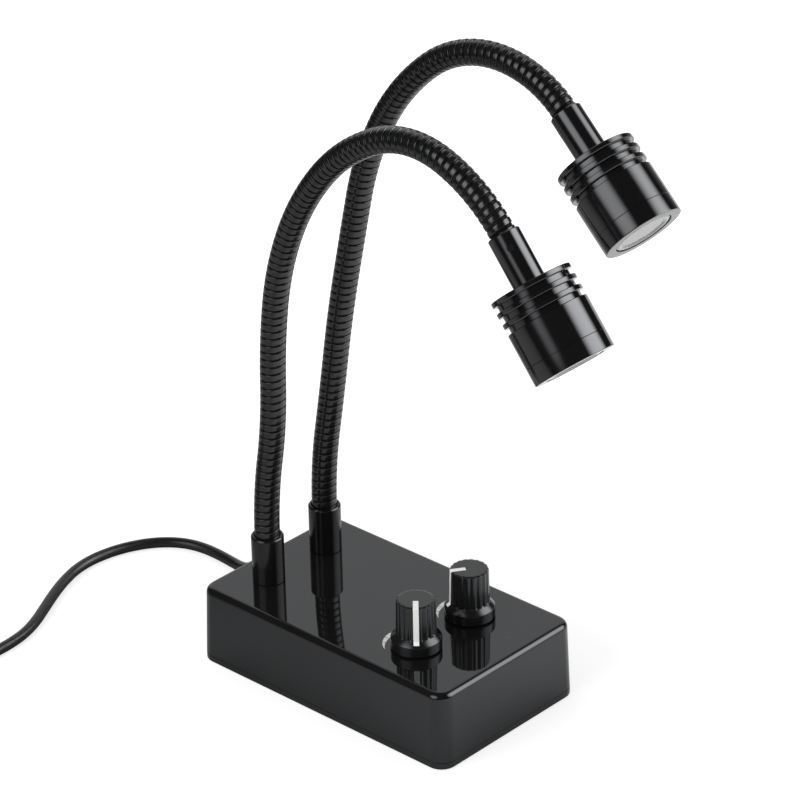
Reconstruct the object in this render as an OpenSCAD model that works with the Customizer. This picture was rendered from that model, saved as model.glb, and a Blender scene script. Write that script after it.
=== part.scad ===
// Dual gooseneck LED illuminator: a small bench box that carries two bendable necks with a
// finned spot head each, two dimmer knobs and a thin supply cord.
// Millimetres, +Z up. The origin is the centre of the underside of the base. The knobs are at
// the front (-Y), the necks and the cord at the rear (+Y), and "left" is the -X side.

/* [Base] */
// Length of the base, front to rear
base_length = 100; // [90:1:140]
// Width of the base
base_width = 60; // [54:1:90]
// Height of the base, cover included
base_height = 25; // [23:0.5:40]
// Radius of the upright corners
base_corner = 5; // [3:0.5:6]
// Radius of the rounded edge round the top panel
top_edge = 2; // [0.5:0.25:2.5]
// Draft of the side walls, in degrees
base_draft = 1.5; // [0:0.25:2]
// Thickness of the side walls
wall = 2; // [1.5:0.1:3]
// Thickness of the top panel
panel = 2.5; // [2:0.1:3.5]
// Thickness of the bottom cover
cover = 2.2; // [2:0.1:3]
// Chamfer on both edges of the seam between base and cover
seam = 0.25; // [0.1:0.05:0.5]

/* [Cover screws] */
// Diameter of a screw post inside the base
post_d = 7; // [6:0.5:8]
// Diameter of a cover screw
cover_screw_d = 3; // [2.5:0.1:3.5]
// Length of a cover screw
cover_screw_length = 10; // [8:0.5:14]
// Diameter of its countersunk head
cover_head_d = 5.6; // [5:0.1:6.5]
// Height of its countersunk head
cover_head_h = 1.4; // [1:0.1:1.7]

/* [Driver board] */
// Length of the board
board_length = 62; // [50:1:70]
// Width of the board
board_width = 44; // [36:1:46]
// Thickness of the board
board_t = 1.6; // [1:0.1:2]
// Height of the board above the cover
board_lift = 3; // [2:0.25:4]
// Distance of a board screw from the edges of the board
board_hole_inset = 4; // [3.5:0.25:6]
// Diameter of a board screw
board_screw_d = 2; // [1.8:0.1:2.5]
// Diameter of the head of a board screw
board_head_d = 4; // [3.6:0.1:5]
// Height of the tallest piece on the board, a capacitor
capacitor_h = 7; // [5:0.5:9]

/* [Knobs] */
// Distance between the two knobs
knob_spacing = 23.6; // [22:0.1:34]
// Distance of the middle between them from the middle of the base, towards +X
knob_shift = -0.7; // [-3:0.1:3]
// Distance of the knobs from the front edge
knob_setback = 25.8; // [20:0.1:34]
// Diameter of the skirt of a knob
skirt_d = 15.3; // [14.8:0.1:18]
// Height of the upright side of the skirt
skirt_h = 3.4; // [2.6:0.1:4]
// Diameter of the fluted grip at its foot
grip_d = 12.1; // [11:0.1:13]
// Diameter of the fluted grip at its top
grip_top_d = 11.6; // [10:0.1:12]
// Height of the sloping shoulder between skirt and grip
shoulder_h = 1.3; // [0.8:0.1:2]
// Height of a knob
knob_h = 15.8; // [15:0.1:20]
// Gap between a knob and the panel
knob_lift = 0.4; // [0.3:0.05:1]
// Number of flutes in the grip
flute_count = 18; // [12:1:24]
// Radius of a flute
flute_r = 0.8; // [0.5:0.05:1]
// Depth of a flute at the foot of the grip
flute_depth = 0.45; // [0.3:0.05:0.6]
// Width of the white pointer
pointer_w = 1.7; // [1:0.1:2]
// Depth of the pointer's groove
pointer_depth = 0.45; // [0.3:0.05:0.6]
// Distance of the pointer's inner end from the middle of the top
pointer_start = 1.1; // [0:0.1:2]
// Direction of a pointer at off, in degrees from +X
knob_off = 223; // [0:1:359]
// Clockwise turn of the left knob from off, in degrees
left_setting = 0; // [0:1:300]
// Clockwise turn of the right knob from off, in degrees
right_setting = 78; // [0:1:300]

/* [Dimmers] */
// Diameter of the body of a potentiometer
pot_d = 16.5; // [16:0.1:18]
// Depth of the body of a potentiometer
pot_depth = 8.5; // [7:0.1:9]
// Diameter of its threaded bushing
bushing_d = 7; // [6.8:0.1:7.5]
// Height of the bushing above the panel
bushing_h = 5; // [4:0.1:5.5]
// Diameter of its shaft
shaft_d = 6; // [5.5:0.1:6.2]
// Depth of the flat on the shaft
shaft_flat = 1.5; // [1:0.1:2]
// Width across the flats of its nut
pot_nut_af = 10; // [9:0.1:10.5]
// Thickness of its nut
pot_nut_t = 2; // [1.5:0.1:2]

/* [Ferrules] */
// Distance between the two necks
neck_spacing = 25; // [25:0.5:34]
// Distance of the necks from the rear edge
neck_setback = 13.5; // [13:0.5:20]
// Diameter of a ferrule
ferrule_d = 10; // [9.6:0.1:12]
// Height of a ferrule above the panel
ferrule_h = 15.5; // [13:0.5:20]
// Depth of neck that sits in a ferrule
ferrule_seat = 11; // [8:0.5:12]
// Diameter of the thread below a ferrule
thread_d = 8; // [7:0.1:8.5]
// Length of the thread below a ferrule
thread_length = 8; // [7:0.5:9]
// Width across the flats of its nut
ferrule_nut_af = 12; // [11:0.5:14]
// Thickness of its nut
ferrule_nut_t = 3; // [2.5:0.1:3.5]
// Diameter of its washer
washer_d = 14; // [13:0.5:16]
// Thickness of its washer
washer_t = 1; // [0.8:0.1:1.2]

/* [Necks] */
// Diameter of a neck over its ribs
neck_d = 7.8; // [7:0.1:8]
// Depth of the groove between two ribs
rib_depth = 0.5; // [0.3:0.05:0.6]
// Bore of a neck
neck_bore = 3; // [2.5:0.1:3.2]
// Ribs on each link of a neck
ribs = 10; // [6:1:12]
// Length of a link, from one hinge to the next
link_length = 26.5; // [24:0.1:32]
// Forward bend of the four lower links of the left neck, in degrees
left_lower = [10, -9, 7, 15]; // [-45:0.5:50]
// Forward bend of the four upper links of the left neck, in degrees
left_upper = [17.5, 24, 45.5, 29.5]; // [-45:0.5:50]
// Forward bend of the four lower links of the right neck, in degrees
right_lower = [8, -1, 3, 0.5]; // [-45:0.5:50]
// Forward bend of the four upper links of the right neck, in degrees
right_upper = [15.5, 24, 44.5, 38]; // [-45:0.5:50]
// Turn of the left neck towards -X, in degrees
left_aim = -2; // [-30:1:30]
// Turn of the right neck towards -X, in degrees
right_aim = -25; // [-30:1:30]
// Turn of each link of the left neck on the one below, in degrees
left_twist = -0.5; // [-5:0.1:5]
// Turn of each link of the right neck on the one below, in degrees
right_twist = -3.8; // [-5:0.1:5]
// Largest swing of one link on the next, in degrees
link_swing = 18; // [5:1:20]

/* [Heads] */
// Diameter of a head
head_d = 24.3; // [23:0.1:26]
// Length of a head, stem left out
head_length = 25.6; // [24:0.1:30]
// Length of the bezel ring at the front
bezel_length = 5.3; // [4.8:0.1:6]
// Number of cooling fins
fin_count = 3; // [2:1:3]
// Width of a fin
fin_w = 1.5; // [1:0.1:1.8]
// Width of the gap between two fins
fin_gap = 1.75; // [1.2:0.05:2]
// Depth of the gap between two fins
fin_depth = 1.2; // [0.6:0.1:2]
// Diameter of the stem
stem_d = 9.6; // [9.3:0.1:11]
// Length of the stem behind the head
stem_length = 15.4; // [12:0.1:20]
// Depth of neck that sits in the stem
stem_seat = 10; // [8:0.5:11]
// Diameter of the window in the bezel
window_d = 17.8; // [15:0.1:18.5]
// Diameter of the flat at the middle of the lens
lens_flat_d = 13.6; // [10:0.1:14.5]
// Depth of the rounded rear of the lens
lens_depth = 5; // [3:0.1:6]
// Diameter of the thread that carries the bezel
bezel_thread_d = 22; // [20.5:0.1:22]
// Wall of the barrel round its cavity
barrel_wall = 2.2; // [1.8:0.1:2.4]
// Diameter of the screw that clamps the neck in the stem
stem_screw_d = 1.8; // [1.4:0.1:2]
// Distance of that screw from the mouth of the stem
stem_screw_at = 4.7; // [2:0.1:8]
// Turn of that screw round the left stem, from its -X side, in degrees
left_screw_turn = -45; // [-180:1:180]
// Turn of that screw round the right stem, from its -X side, in degrees
right_screw_turn = 45; // [-180:1:180]
// Side of the square LED
led_side = 3.5; // [2.5:0.1:5]

/* [Cord] */
// Diameter of the supply cord
cord_d = 3.4; // [3:0.1:3.8]
// Radius of the outer turn of the coil
coil_r = 26; // [22:0.5:30]
// Turns of the coil, spiralling in and out again
coil_turns = 6.5; // [2.5:1:7.5]
// Gap between two turns
turn_gap = 0.45; // [0.42:0.01:0.8]
// Width of the tie round the coil
tie_w = 5; // [3:0.5:8]
// Thickness of the tie
tie_t = 0.5; // [0.4:0.05:0.8]
// Length of the plug's grip
plug_length = 22; // [18:0.5:30]
// Width of the plug's grip
plug_w = 15; // [14:0.1:17]
// Thickness of the plug's grip
plug_t = 8.5; // [7.5:0.1:10]

/* [Hidden] */
$fn = 64;
left = -1;
right = 1;
both = [left, right];
pairs = ["left", "right"];
links = 8;

// Clearances: between a hole and what passes it, between running or seated round faces, and the
// overlap by which one cut passes a face
hole_gap = 0.15;
fit_gap = 0.05;
past = 1;

// Base
slope = tan(base_draft);
corner_steps = 8;
edge_steps = 6;
least_corner = 0.4;
post_overlap = 0.5;
post_x = base_width / 2 - post_d / 2 - wall + post_overlap;
post_y = base_length / 2 - post_d / 2 - wall + post_overlap;
posts = [for (x = [-post_x, post_x], y = [-post_y, post_y]) [x, y]];
pilot_depth = cover_screw_length + 1;
rib_h = 1.5;
rib_t = 1.2;
rib_clear = 2;
slot_share = 0.55;
panel_in = base_height - panel;

// Board
board_z = cover + board_lift;
board_top = board_z + board_t;
board_x = board_width / 2 - board_hole_inset;
board_y = board_length / 2 - board_hole_inset;
board_holes = [for (x = [-board_x, board_x], y = [-board_y, board_y]) [x, y]];
standoff_wall = 1.5;
standoff_d = board_screw_d + 2 * standoff_wall;
board_screw_bite = 1;
board_screw_length = board_t + board_lift + board_screw_bite;
board_head_h = 1.4;
board_slot_w = 0.5;

// Knobs and dimmers
knob_x = knob_spacing / 2;
knob_y = knob_setback - base_length / 2;
knob_z = base_height + knob_lift;
pot_washer_d = 11.8;
pot_washer_t = 0.5;
pot_nut_top = pot_washer_t + pot_nut_t;
skirt_wall = 0.9;
shaft_end = 2.6;
flat_foot = bushing_h + 1;
pot_floor = 2;
terminal = [1.2, 4, 0.5];
terminal_root = 2;
terminal_pitch = 2.5;

// Ferrules and necks
neck_x = neck_spacing / 2;
neck_y = base_length / 2 - neck_setback;
mouth_z = base_height + ferrule_h;
seat_d = neck_d + 2 * hole_gap;
lead_d = 3.4;
sides = 8;
groove_r = neck_d / 2 - rib_depth;

// The rims of two links stay clear at the largest swing; a nose on one sits in a cup in the next
rim_clear = 0.1;
rim_gap = (groove_r * sin(link_swing) + rim_clear) / (1 + cos(link_swing));
nose_r = groove_r - 1;
nose_tip = [nose_r - 0.5, 1.5];
cup_r = groove_r - 0.35;
cup_depth = 2.6;

// Heads
head_r = head_d / 2;
fin_pitch = fin_w + fin_gap;
barrel_length = head_length - bezel_length;
cavity_floor = fin_count * fin_pitch;
cavity_r = head_r - barrel_wall;
bezel_thread_length = 2;
lens_flange_t = 1.4;
bezel_lip = 1;
lens_seat = head_length - bezel_lip;
seal_t = bezel_length - bezel_lip - lens_flange_t - bezel_thread_length;
stem_spigot_d = 6;
stem_spigot_length = 5;
led_board_t = 1.6;
led_t = 0.7;
led_dome_r = led_side * 0.4;
set_in = 0.1;

// Cord: exit through the rear wall, then points on its route over the table, then the coil
cord_exit_x = 12;
cord_exit_z = 8;
cord_route = [
    [12, 44, 8], [12, 52, 8], [12, 62, 8], [12.1, 65, 7.5], [12.5, 68, 6.2], [13.1, 71, 4.5],
    [13.8, 74, 3], [14.5, 77, 2.1], [15.1, 80.5, 1.75], [15.5, 85, 1.75], [15.7, 89.5, 1.75],
    [15.5, 94, 1.75], [14.6, 98.6, 1.75], [12.9, 102.6, 1.75], [10.2, 106.3, 1.75], [6.6, 109.6, 1.75],
    [2.4, 112.2, 1.75], [-2.6, 114.3, 1.75], [-8, 115.6, 1.75], [-14, 116.1, 1.75], [-20.5, 115.4, 1.75],
    [-26.5, 113.6, 1.75], [-32.5, 111.1, 1.75], [-38.5, 108.1, 1.75], [-44.5, 104.9, 1.75],
    [-50.5, 101.8, 1.75], [-56.5, 99.4, 1.75], [-63, 98, 1.75], [-70, 97.6, 1.75], [-77, 97.6, 1.9],
    [-84, 97.6, 2.2], [-88, 97.6, 2.3], [-92, 97.6, 2.3]
];
route_end = cord_route[len(cord_route) - 1];
coil_x = route_end.x - cord_d;
coil_y = route_end.y + coil_r;
turn_pitch = cord_d + turn_gap;
coil_steps = 20;
coil_sides = 6;
full_turn = 360;
coil_end = coil_turns * full_turn;
coil_mid = coil_end / 2;
coil_tail = 14;
plug_z = plug_t / 2;
plug_x = coil_x + coil_tail + cord_d;
plug_y = coil_y + coil_r;
relief_length = 8;
plug_shell_size = [12, 12, 4.5];
plug_shell_t = 0.3;
plug_tongue_t = 1.8;
grommet_d = 6;
grommet_flange_d = 8.4;
grommet_length = 12;

// Shapes that repeat

// Closed skin over rings of points that run anticlockwise seen from the last ring. The ends are
// capped, or with loop the last ring joins the first, as on a tube with a bore.
module skin(rings, loop = false) {
    n = len(rings[0]);
    m = len(rings);
    function at(i, k) = (i % m) * n + k % n;
    walls = [
        for (i = [0 : m - (loop ? 1 : 2)], k = [0 : n - 1])
            each [[at(i, k), at(i + 1, k + 1), at(i, k + 1)], [at(i, k), at(i + 1, k), at(i + 1, k + 1)]]
    ];
    ends = loop ? [] : [[for (k = [0 : n - 1]) k], [for (k = [1 : n]) at(m - 1, n - k)]];
    polyhedron([for (r = rings) each r], concat(walls, ends), convexity = 8);
}

// Rounded rectangle of half sizes x and y, at height z
function rounded(x, y, r, z) = [
    for (c = [0 : 3], k = [0 : corner_steps])
        let (a = 90 * (c + k / corner_steps), sx = c == 0 || c == 3 ? 1 : -1, sy = c < 2 ? 1 : -1)
            [sx * (x - r) + r * cos(a), sy * (y - r) + r * sin(a), z]
];

// Outline of the base drawn in by an inset, at height z
function base_ring(inset, z) =
    rounded(base_width / 2 - inset, base_length / 2 - inset, max(base_corner - inset, least_corner), z);

// Ring of points round a centre, square to the direction that it is swept in
function tube_ring(centre, along, r, n) =
    let (t = along / norm(along), s = cross([0, 0, 1], t), x = s / norm(s), y = cross(t, x))
        [for (k = [0 : n - 1]) centre + r * (cos(360 * k / n) * x + sin(360 * k / n) * y)];

// Rings of a tube of diameter d along points
function tube(points, d, n) = [
    for (i = [0 : len(points) - 1])
        let (a = points[max(i - 1, 0)], b = points[min(i + 1, len(points) - 1)])
            tube_ring(points[i], b - a, d / 2, n)
];

module ring(outer_d, inner_d, h) {
    difference() {
        cylinder(d = outer_d, h = h);
        translate([0, 0, -past]) cylinder(d = inner_d, h = h + 2 * past);
    }
}

module hex_nut(af, bore, h) {
    difference() {
        cylinder(d = af / cos(30), h = h, $fn = 6);
        translate([0, 0, -past]) cylinder(d = bore, h = h + 2 * past);
    }
}

module at_knob(side) translate([side * knob_x + knob_shift, knob_y, 0]) children();
module at_neck(side) translate([side * neck_x, neck_y, base_height]) children();
module turned_knob(side) {
    setting = side == left ? left_setting : right_setting;
    at_knob(side) rotate([0, 0, knob_off - setting + 90]) children();
}

// Base

module base_shell() {
    top_inset = (base_height - top_edge - cover) * slope;
    outer = concat(
        [base_ring(seam, cover), base_ring(0, cover + seam)],
        [for (k = [0 : edge_steps])
            let (a = 90 * k / edge_steps)
                base_ring(top_inset + top_edge * (1 - cos(a)), base_height - top_edge * (1 - sin(a)))]
    );
    inner = [
        base_ring(wall - slope * past, cover - past),
        base_ring(wall + slope * (panel_in - cover), panel_in)
    ];
    color([0.1, 0.1, 0.105]) difference() {
        union() {
            difference() {
                skin(outer);
                skin(inner);
            }
            for (p = posts)
                translate([p.x, p.y, cover]) cylinder(d = post_d, h = panel_in - cover + panel / 2);
        }
        for (p = posts)
            translate([p.x, p.y, cover - past])
                cylinder(d = cover_screw_d + 2 * fit_gap, h = pilot_depth + past);
        for (side = both) {
            at_knob(side) translate([0, 0, panel_in - past])
                cylinder(d = bushing_d + 2 * hole_gap, h = panel + 2 * past);
            at_neck(side) translate([0, 0, -panel - past])
                cylinder(d = thread_d + 2 * hole_gap, h = panel + 2 * past);
        }
        at_cord_exit() translate([0, 0, -past])
            cylinder(d = grommet_d + 2 * hole_gap, h = wall + 3 * past);
    }
}

module bottom_cover() {
    chamfer = 0.4;
    rib_x = base_width / 2 - wall - hole_gap;
    rib_y = base_length / 2 - wall - hole_gap;
    side_rib = 2 * (post_y - rib_clear) - post_d;
    end_rib = 2 * (post_x - rib_clear) - post_d;
    plate = [
        base_ring(chamfer, 0), base_ring(0, chamfer), base_ring(0, cover - seam), base_ring(seam, cover)
    ];
    hole_d = cover_screw_d + 2 * hole_gap;
    sink_d = cover_head_d + 2 * hole_gap;
    color([0.1, 0.1, 0.105]) difference() {
        union() {
            skin(plate);
            for (s = both) {
                translate([s * (rib_x - rib_t / 2), 0, cover + rib_h / 2 - rib_t / 2])
                    cube([rib_t, side_rib, rib_h + rib_t], center = true);
                translate([0, s * (rib_y - rib_t / 2), cover + rib_h / 2 - rib_t / 2])
                    cube([end_rib, rib_t, rib_h + rib_t], center = true);
            }
            for (p = board_holes)
                translate([p.x, p.y, cover / 2]) cylinder(d = standoff_d, h = board_z - cover / 2);
        }
        for (p = posts) translate([p.x, p.y, -past]) {
            cylinder(d = hole_d, h = cover + 2 * past);
            cylinder(d = sink_d, h = past + hole_gap);
            translate([0, 0, past + hole_gap]) cylinder(d1 = sink_d, d2 = hole_d, h = cover_head_h);
        }
        for (p = board_holes)
            translate([p.x, p.y, board_top - board_screw_length - hole_gap])
                cylinder(d = board_screw_d + 2 * fit_gap, h = board_screw_length);
    }
}

module cover_screws() {
    color("dimgray") for (p = posts) translate([p.x, p.y, hole_gap]) difference() {
        union() {
            cylinder(d1 = cover_head_d, d2 = cover_screw_d, h = cover_head_h);
            cylinder(d = cover_screw_d, h = cover_screw_length);
        }
        for (a = [0, 90]) rotate([0, 0, a])
            cube([cover_head_d * slot_share, cover_screw_d / 4, cover_head_h], center = true);
    }
}

module driver_board() {
    color([0.05, 0.28, 0.14]) difference() {
        translate([-board_width / 2, -board_length / 2, board_z])
            cube([board_width, board_length, board_t]);
        for (p = board_holes)
            translate([p.x, p.y, board_z - past])
                cylinder(d = board_screw_d + 2 * hole_gap, h = board_t + 2 * past);
    }
}

// Two dimmer channels side by side, with the supply header between their lead headers
module board_components() {
    header = [6, 5, 5.5];
    coil = [7, 7, 3.5];
    chip = [5, 4, 1.5];
    capacitor_d = 6.3;
    channel_x = board_width / 4;
    header_y = board_length / 2 - header.y;
    color([0.2, 0.2, 0.21]) translate([0, 0, board_top]) {
        for (s = both) translate([s * channel_x, 0, 0]) {
            translate([-header.x / 2, header_y - header.y / 2, 0]) cube(header);
            translate([0, board_length / 4, 0]) cylinder(d = capacitor_d, h = capacitor_h);
            translate([-coil.x / 2, -coil.y / 2, 0]) cube(coil);
            translate([-chip.x / 2, -board_length / 5, 0]) cube(chip);
        }
        translate([-header.x / 2, header_y - header.y / 2, 0]) cube(header);
    }
}

module board_screws() {
    color("silver") for (p = board_holes) translate([p.x, p.y, board_top]) {
        difference() {
            cylinder(d = board_head_d, h = board_head_h);
            translate([0, 0, board_head_h])
                cube([board_head_d * slot_share, board_slot_w, board_head_h], center = true);
        }
        translate([0, 0, -board_screw_length])
            cylinder(d = board_screw_d, h = board_screw_length + board_head_h / 2);
    }
}

// Dimmers and knobs

module potentiometer(side) {
    bore = shaft_d + 2 * fit_gap;
    foot = panel_in - pot_depth;
    color([0.55, 0.55, 0.57]) at_knob(side) difference() {
        union() {
            translate([0, 0, foot]) cylinder(d = pot_d, h = pot_depth);
            translate([0, 0, panel_in - past]) cylinder(d = bushing_d, h = panel + bushing_h + past);
            for (k = [-1, 0, 1])
                translate([terminal_pitch * k - terminal.x / 2, pot_d / 2 - terminal_root, foot + pot_floor])
                    cube([terminal.x, terminal.y + terminal_root, terminal.z]);
        }
        translate([0, 0, foot + pot_floor]) cylinder(d = bore, h = base_height);
    }
}

module pot_shaft(side) {
    foot = panel_in - pot_depth + pot_floor + fit_gap;
    top = knob_z + knob_h - shaft_end;
    color("silver") turned_knob(side) difference() {
        translate([0, 0, foot]) cylinder(d = shaft_d, h = top - foot);
        translate([-shaft_d, shaft_d / 2 - shaft_flat, base_height + flat_foot])
            cube([2 * shaft_d, shaft_d, base_height]);
    }
}

module pot_washers() {
    color("silver") for (s = both) at_knob(s) translate([0, 0, base_height])
        ring(pot_washer_d, bushing_d + 2 * hole_gap, pot_washer_t);
}

module pot_nuts() {
    color("silver") for (s = both) at_knob(s) translate([0, 0, base_height + pot_washer_t])
        hex_nut(pot_nut_af, bushing_d + 2 * fit_gap, pot_nut_t);
}

// The pointer runs from near the middle of the top to the rim and down the side of the grip. Grown by
// an amount outwards, it cuts its own groove.
module pointer_bar(grow = 0) {
    foot = knob_z + skirt_h + shoulder_h;
    top = knob_z + knob_h;
    reach = grip_d / 2;
    translate([-pointer_w / 2, -reach - grow, top - pointer_depth])
        cube([pointer_w, reach + grow - pointer_start, pointer_depth + grow]);
    translate([-pointer_w / 2, -reach - grow, foot])
        cube([pointer_w, pointer_depth + grow, top - foot + grow]);
}

module knob(side) {
    nut_clear = 0.7;
    collar_clear = 0.5;
    end_clear = 0.2;
    recess_top = pot_nut_top - knob_lift + nut_clear;
    collar_top = bushing_h - knob_lift + collar_clear;
    bore_top = knob_h - shaft_end + end_clear;
    edge = 0.4;
    flute_lift = 0.2;
    grip_foot = skirt_h + shoulder_h;
    profile = [
        [0, 0], [skirt_d / 2, 0], [skirt_d / 2, skirt_h], [grip_d / 2, grip_foot],
        [grip_top_d / 2, knob_h - edge], [grip_top_d / 2 - edge, knob_h], [0, knob_h]
    ];
    color([0.09, 0.09, 0.095]) turned_knob(side) difference() {
        translate([0, 0, knob_z]) rotate_extrude() polygon(profile);
        for (k = [0 : flute_count - 1]) rotate([0, 0, full_turn * (k + 0.5) / flute_count])
            translate([grip_d / 2 + flute_r - flute_depth, 0, knob_z + grip_foot + flute_lift])
                cylinder(r = flute_r, h = knob_h);
        translate([0, 0, knob_z - past]) {
            cylinder(d = skirt_d - 2 * skirt_wall, h = recess_top + past);
            cylinder(d = bushing_d + 4 * hole_gap, h = collar_top + past);
            difference() {
                cylinder(d = shaft_d + 2 * fit_gap, h = bore_top + past);
                translate([-shaft_d, shaft_d / 2 - shaft_flat + fit_gap, flat_foot + past])
                    cube([2 * shaft_d, shaft_d, knob_h]);
            }
        }
        pointer_bar(past);
    }
}

module pointer(side) {
    color("white") turned_knob(side) pointer_bar();
}

// Ferrules

module ferrule(side) {
    edge = 0.6;
    floor_z = ferrule_h - ferrule_seat;
    profile = [
        [lead_d / 2, -panel - thread_length], [thread_d / 2, -panel - thread_length], [thread_d / 2, 0],
        [ferrule_d / 2, 0], [ferrule_d / 2, ferrule_h - edge], [ferrule_d / 2 - edge, ferrule_h],
        [seat_d / 2, ferrule_h], [seat_d / 2, floor_z], [lead_d / 2, floor_z]
    ];
    color([0.07, 0.07, 0.075]) at_neck(side) rotate_extrude() polygon(profile);
}

module ferrule_washers() {
    color("silver") for (s = both) at_neck(s) translate([0, 0, -panel - washer_t])
        ring(washer_d, thread_d + 2 * hole_gap, washer_t);
}

module ferrule_nuts() {
    color("silver") for (s = both) at_neck(s) translate([0, 0, -panel - washer_t - ferrule_nut_t])
        hex_nut(ferrule_nut_af, thread_d + 2 * fit_gap, ferrule_nut_t);
}

// Necks: each is a chain of links that are bent to one arc each and follow on from one another

function neck_bends(side) =
    side == left ? concat(left_lower, left_upper) : concat(right_lower, right_upper);
function aim(side) = side == left ? left_aim : right_aim;
function twist(side) = side == left ? left_twist : right_twist;

// Point at distance s along an arc of that bend and length, as [forward, up]
function along_arc(bend, length, s) =
    let (t = min(max(s, 0), length), over = s - t, a = bend * t / length)
        (abs(bend) < 0.01 ? [0, t] : length / bend * 180 / PI * [1 - cos(a), sin(a)])
            + over * [sin(a), cos(a)];

// Places its child at the upper end of link i, with +Z along the neck
module on_neck(side, i) {
    if (i == 0) {
        at_neck(side) translate([0, 0, ferrule_h]) rotate([0, 0, -aim(side)]) children();
    } else {
        bend = neck_bends(side)[i - 1];
        p = along_arc(bend, link_length, link_length);
        on_neck(side, i - 1) translate([0, -p.x, p.y]) rotate([bend, 0, 0])
            rotate([0, 0, twist(side)]) children();
    }
}

// Distance along a link and radius of each ring, up the ribbed outside and down the bore. A link
// ends in a nose that sits in the cup of the next one, apart from the ends in ferrule and stem.
function link_profile(length, first, last) =
    let (foot = first ? 0 : rim_gap, top = last ? length : length - rim_gap, bore = neck_bore / 2)
        concat(
            first ? [[-ferrule_seat, neck_d / 2], [0, neck_d / 2]] : [],
            [for (k = [0 : 2 * ribs])
                [foot + (top - foot) * k / (2 * ribs), k % 2 == 0 ? groove_r : neck_d / 2]],
            last ? [[length, neck_d / 2], [length + stem_seat, neck_d / 2], [length + stem_seat, bore]]
                 : [[top, nose_r], [length + nose_tip.y, nose_tip.x], [length + nose_tip.y, bore]],
            [[length * 2 / 3, bore], [length / 3, bore]],
            first ? [[-ferrule_seat, bore]] : [[rim_gap + cup_depth, bore], [rim_gap, cup_r]]
        );

module neck_link(side, i) {
    bend = neck_bends(side)[i - 1];
    length = link_length;
    rings = [
        for (q = link_profile(length, i == 1, i == links))
            let (p = along_arc(bend, length, q[0]), a = bend * min(max(q[0] / length, 0), 1))
                [for (k = [0 : sides - 1])
                    let (f = full_turn * (k + 0.5) / sides, c = q[1] * cos(f), s = q[1] * sin(f))
                        [c, s * cos(a) - p.x, s * sin(a) + p.y]]
    ];
    color([0.12, 0.12, 0.12]) on_neck(side, i - 1) skin(rings, loop = true);
}

// Heads: drawn along +Z from the mouth of the stem, where the neck goes in

module on_head(side) on_neck(side, links) translate([0, 0, stem_length]) children();
module on_screw(side) {
    turn = side == left ? left_screw_turn : right_screw_turn;
    on_neck(side, links) translate([0, 0, stem_screw_at])
        rotate([0, 0, turn]) rotate([0, -90, 0]) children();
}

module head_stem(side) {
    edge = 0.4;
    profile = [
        [seat_d / 2, 0], [stem_d / 2 - edge, 0], [stem_d / 2, edge], [stem_d / 2, stem_length],
        [stem_spigot_d / 2, stem_length], [stem_spigot_d / 2, stem_length + stem_spigot_length],
        [lead_d / 2, stem_length + stem_spigot_length], [lead_d / 2, stem_seat], [seat_d / 2, stem_seat]
    ];
    color([0.07, 0.07, 0.075]) difference() {
        on_neck(side, links) rotate_extrude() polygon(profile);
        on_screw(side) cylinder(d = stem_screw_d + 2 * fit_gap, h = stem_d);
    }
}

module stem_screw(side) {
    foot = neck_d / 2 + fit_gap;
    length = stem_d / 2 - foot - set_in;
    color("dimgray") on_screw(side) translate([0, 0, foot]) difference() {
        cylinder(d = stem_screw_d, h = length);
        translate([0, 0, length / 2]) cylinder(d = stem_screw_d / 2, h = length, $fn = 6);
    }
}

module head_barrel(side) {
    hole_r = stem_spigot_d / 2 + fit_gap;
    hole_depth = stem_spigot_length + hole_gap;
    thread_end = barrel_length + bezel_thread_length;
    root_r = head_r - fin_depth;
    fins = [
        for (k = [0 : fin_count - 1])
            let (z = k * fin_pitch)
                each [[head_r, z], [head_r, z + fin_w], [root_r, z + fin_w], [root_r, z + fin_pitch]]
    ];
    profile = concat(
        [[hole_r, 0]], fins,
        [[head_r, cavity_floor], [head_r, barrel_length], [bezel_thread_d / 2, barrel_length],
         [bezel_thread_d / 2, thread_end], [cavity_r, thread_end], [cavity_r, cavity_floor],
         [lead_d / 2, cavity_floor], [lead_d / 2, hole_depth], [hole_r, hole_depth]]
    );
    color([0.07, 0.07, 0.075]) on_head(side) rotate_extrude() polygon(profile);
}

module head_bezel(side) {
    edge = 0.4;
    bore = bezel_thread_d / 2 + fit_gap;
    profile = [
        [bore, barrel_length], [head_r, barrel_length], [head_r, head_length - edge],
        [head_r - edge, head_length], [window_d / 2, head_length], [window_d / 2, lens_seat],
        [bore, lens_seat]
    ];
    color([0.07, 0.07, 0.075]) on_head(side) rotate_extrude() polygon(profile);
}

// Flanged lens: a bevelled flat front in the window, and a rounded rear towards the LED
module lens(side) {
    flange_r = bezel_thread_d / 2 - hole_gap;
    front_r = window_d / 2 - hole_gap;
    rear = lens_seat - lens_flange_t;
    rear_r = cavity_r - 2 * hole_gap;
    front = head_length - set_in;
    profile = concat(
        [[0, front], [0, rear - lens_depth]],
        [for (a = [75 : -15 : 0]) [rear_r * cos(a), rear - lens_depth * sin(a)]],
        [[flange_r, rear], [flange_r, lens_seat], [front_r, lens_seat],
         [front_r, lens_seat + bezel_lip / 4], [lens_flat_d / 2, front]]
    );
    color([0.8, 0.82, 0.85]) on_head(side) rotate_extrude() polygon(profile);
}

module lens_seal(side) {
    color([0.05, 0.05, 0.05]) on_head(side) translate([0, 0, barrel_length + bezel_thread_length])
        ring(bezel_thread_d - 2 * hole_gap, 2 * cavity_r, seal_t);
}

module led_board(side) {
    wire_hole_d = 1.6;
    color("white") on_head(side) translate([0, 0, cavity_floor]) difference() {
        cylinder(r = cavity_r - hole_gap, h = led_board_t);
        for (s = both) translate([s * cavity_r / 2, 0, -past])
            cylinder(d = wire_hole_d, h = led_board_t + 2 * past);
    }
}

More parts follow.
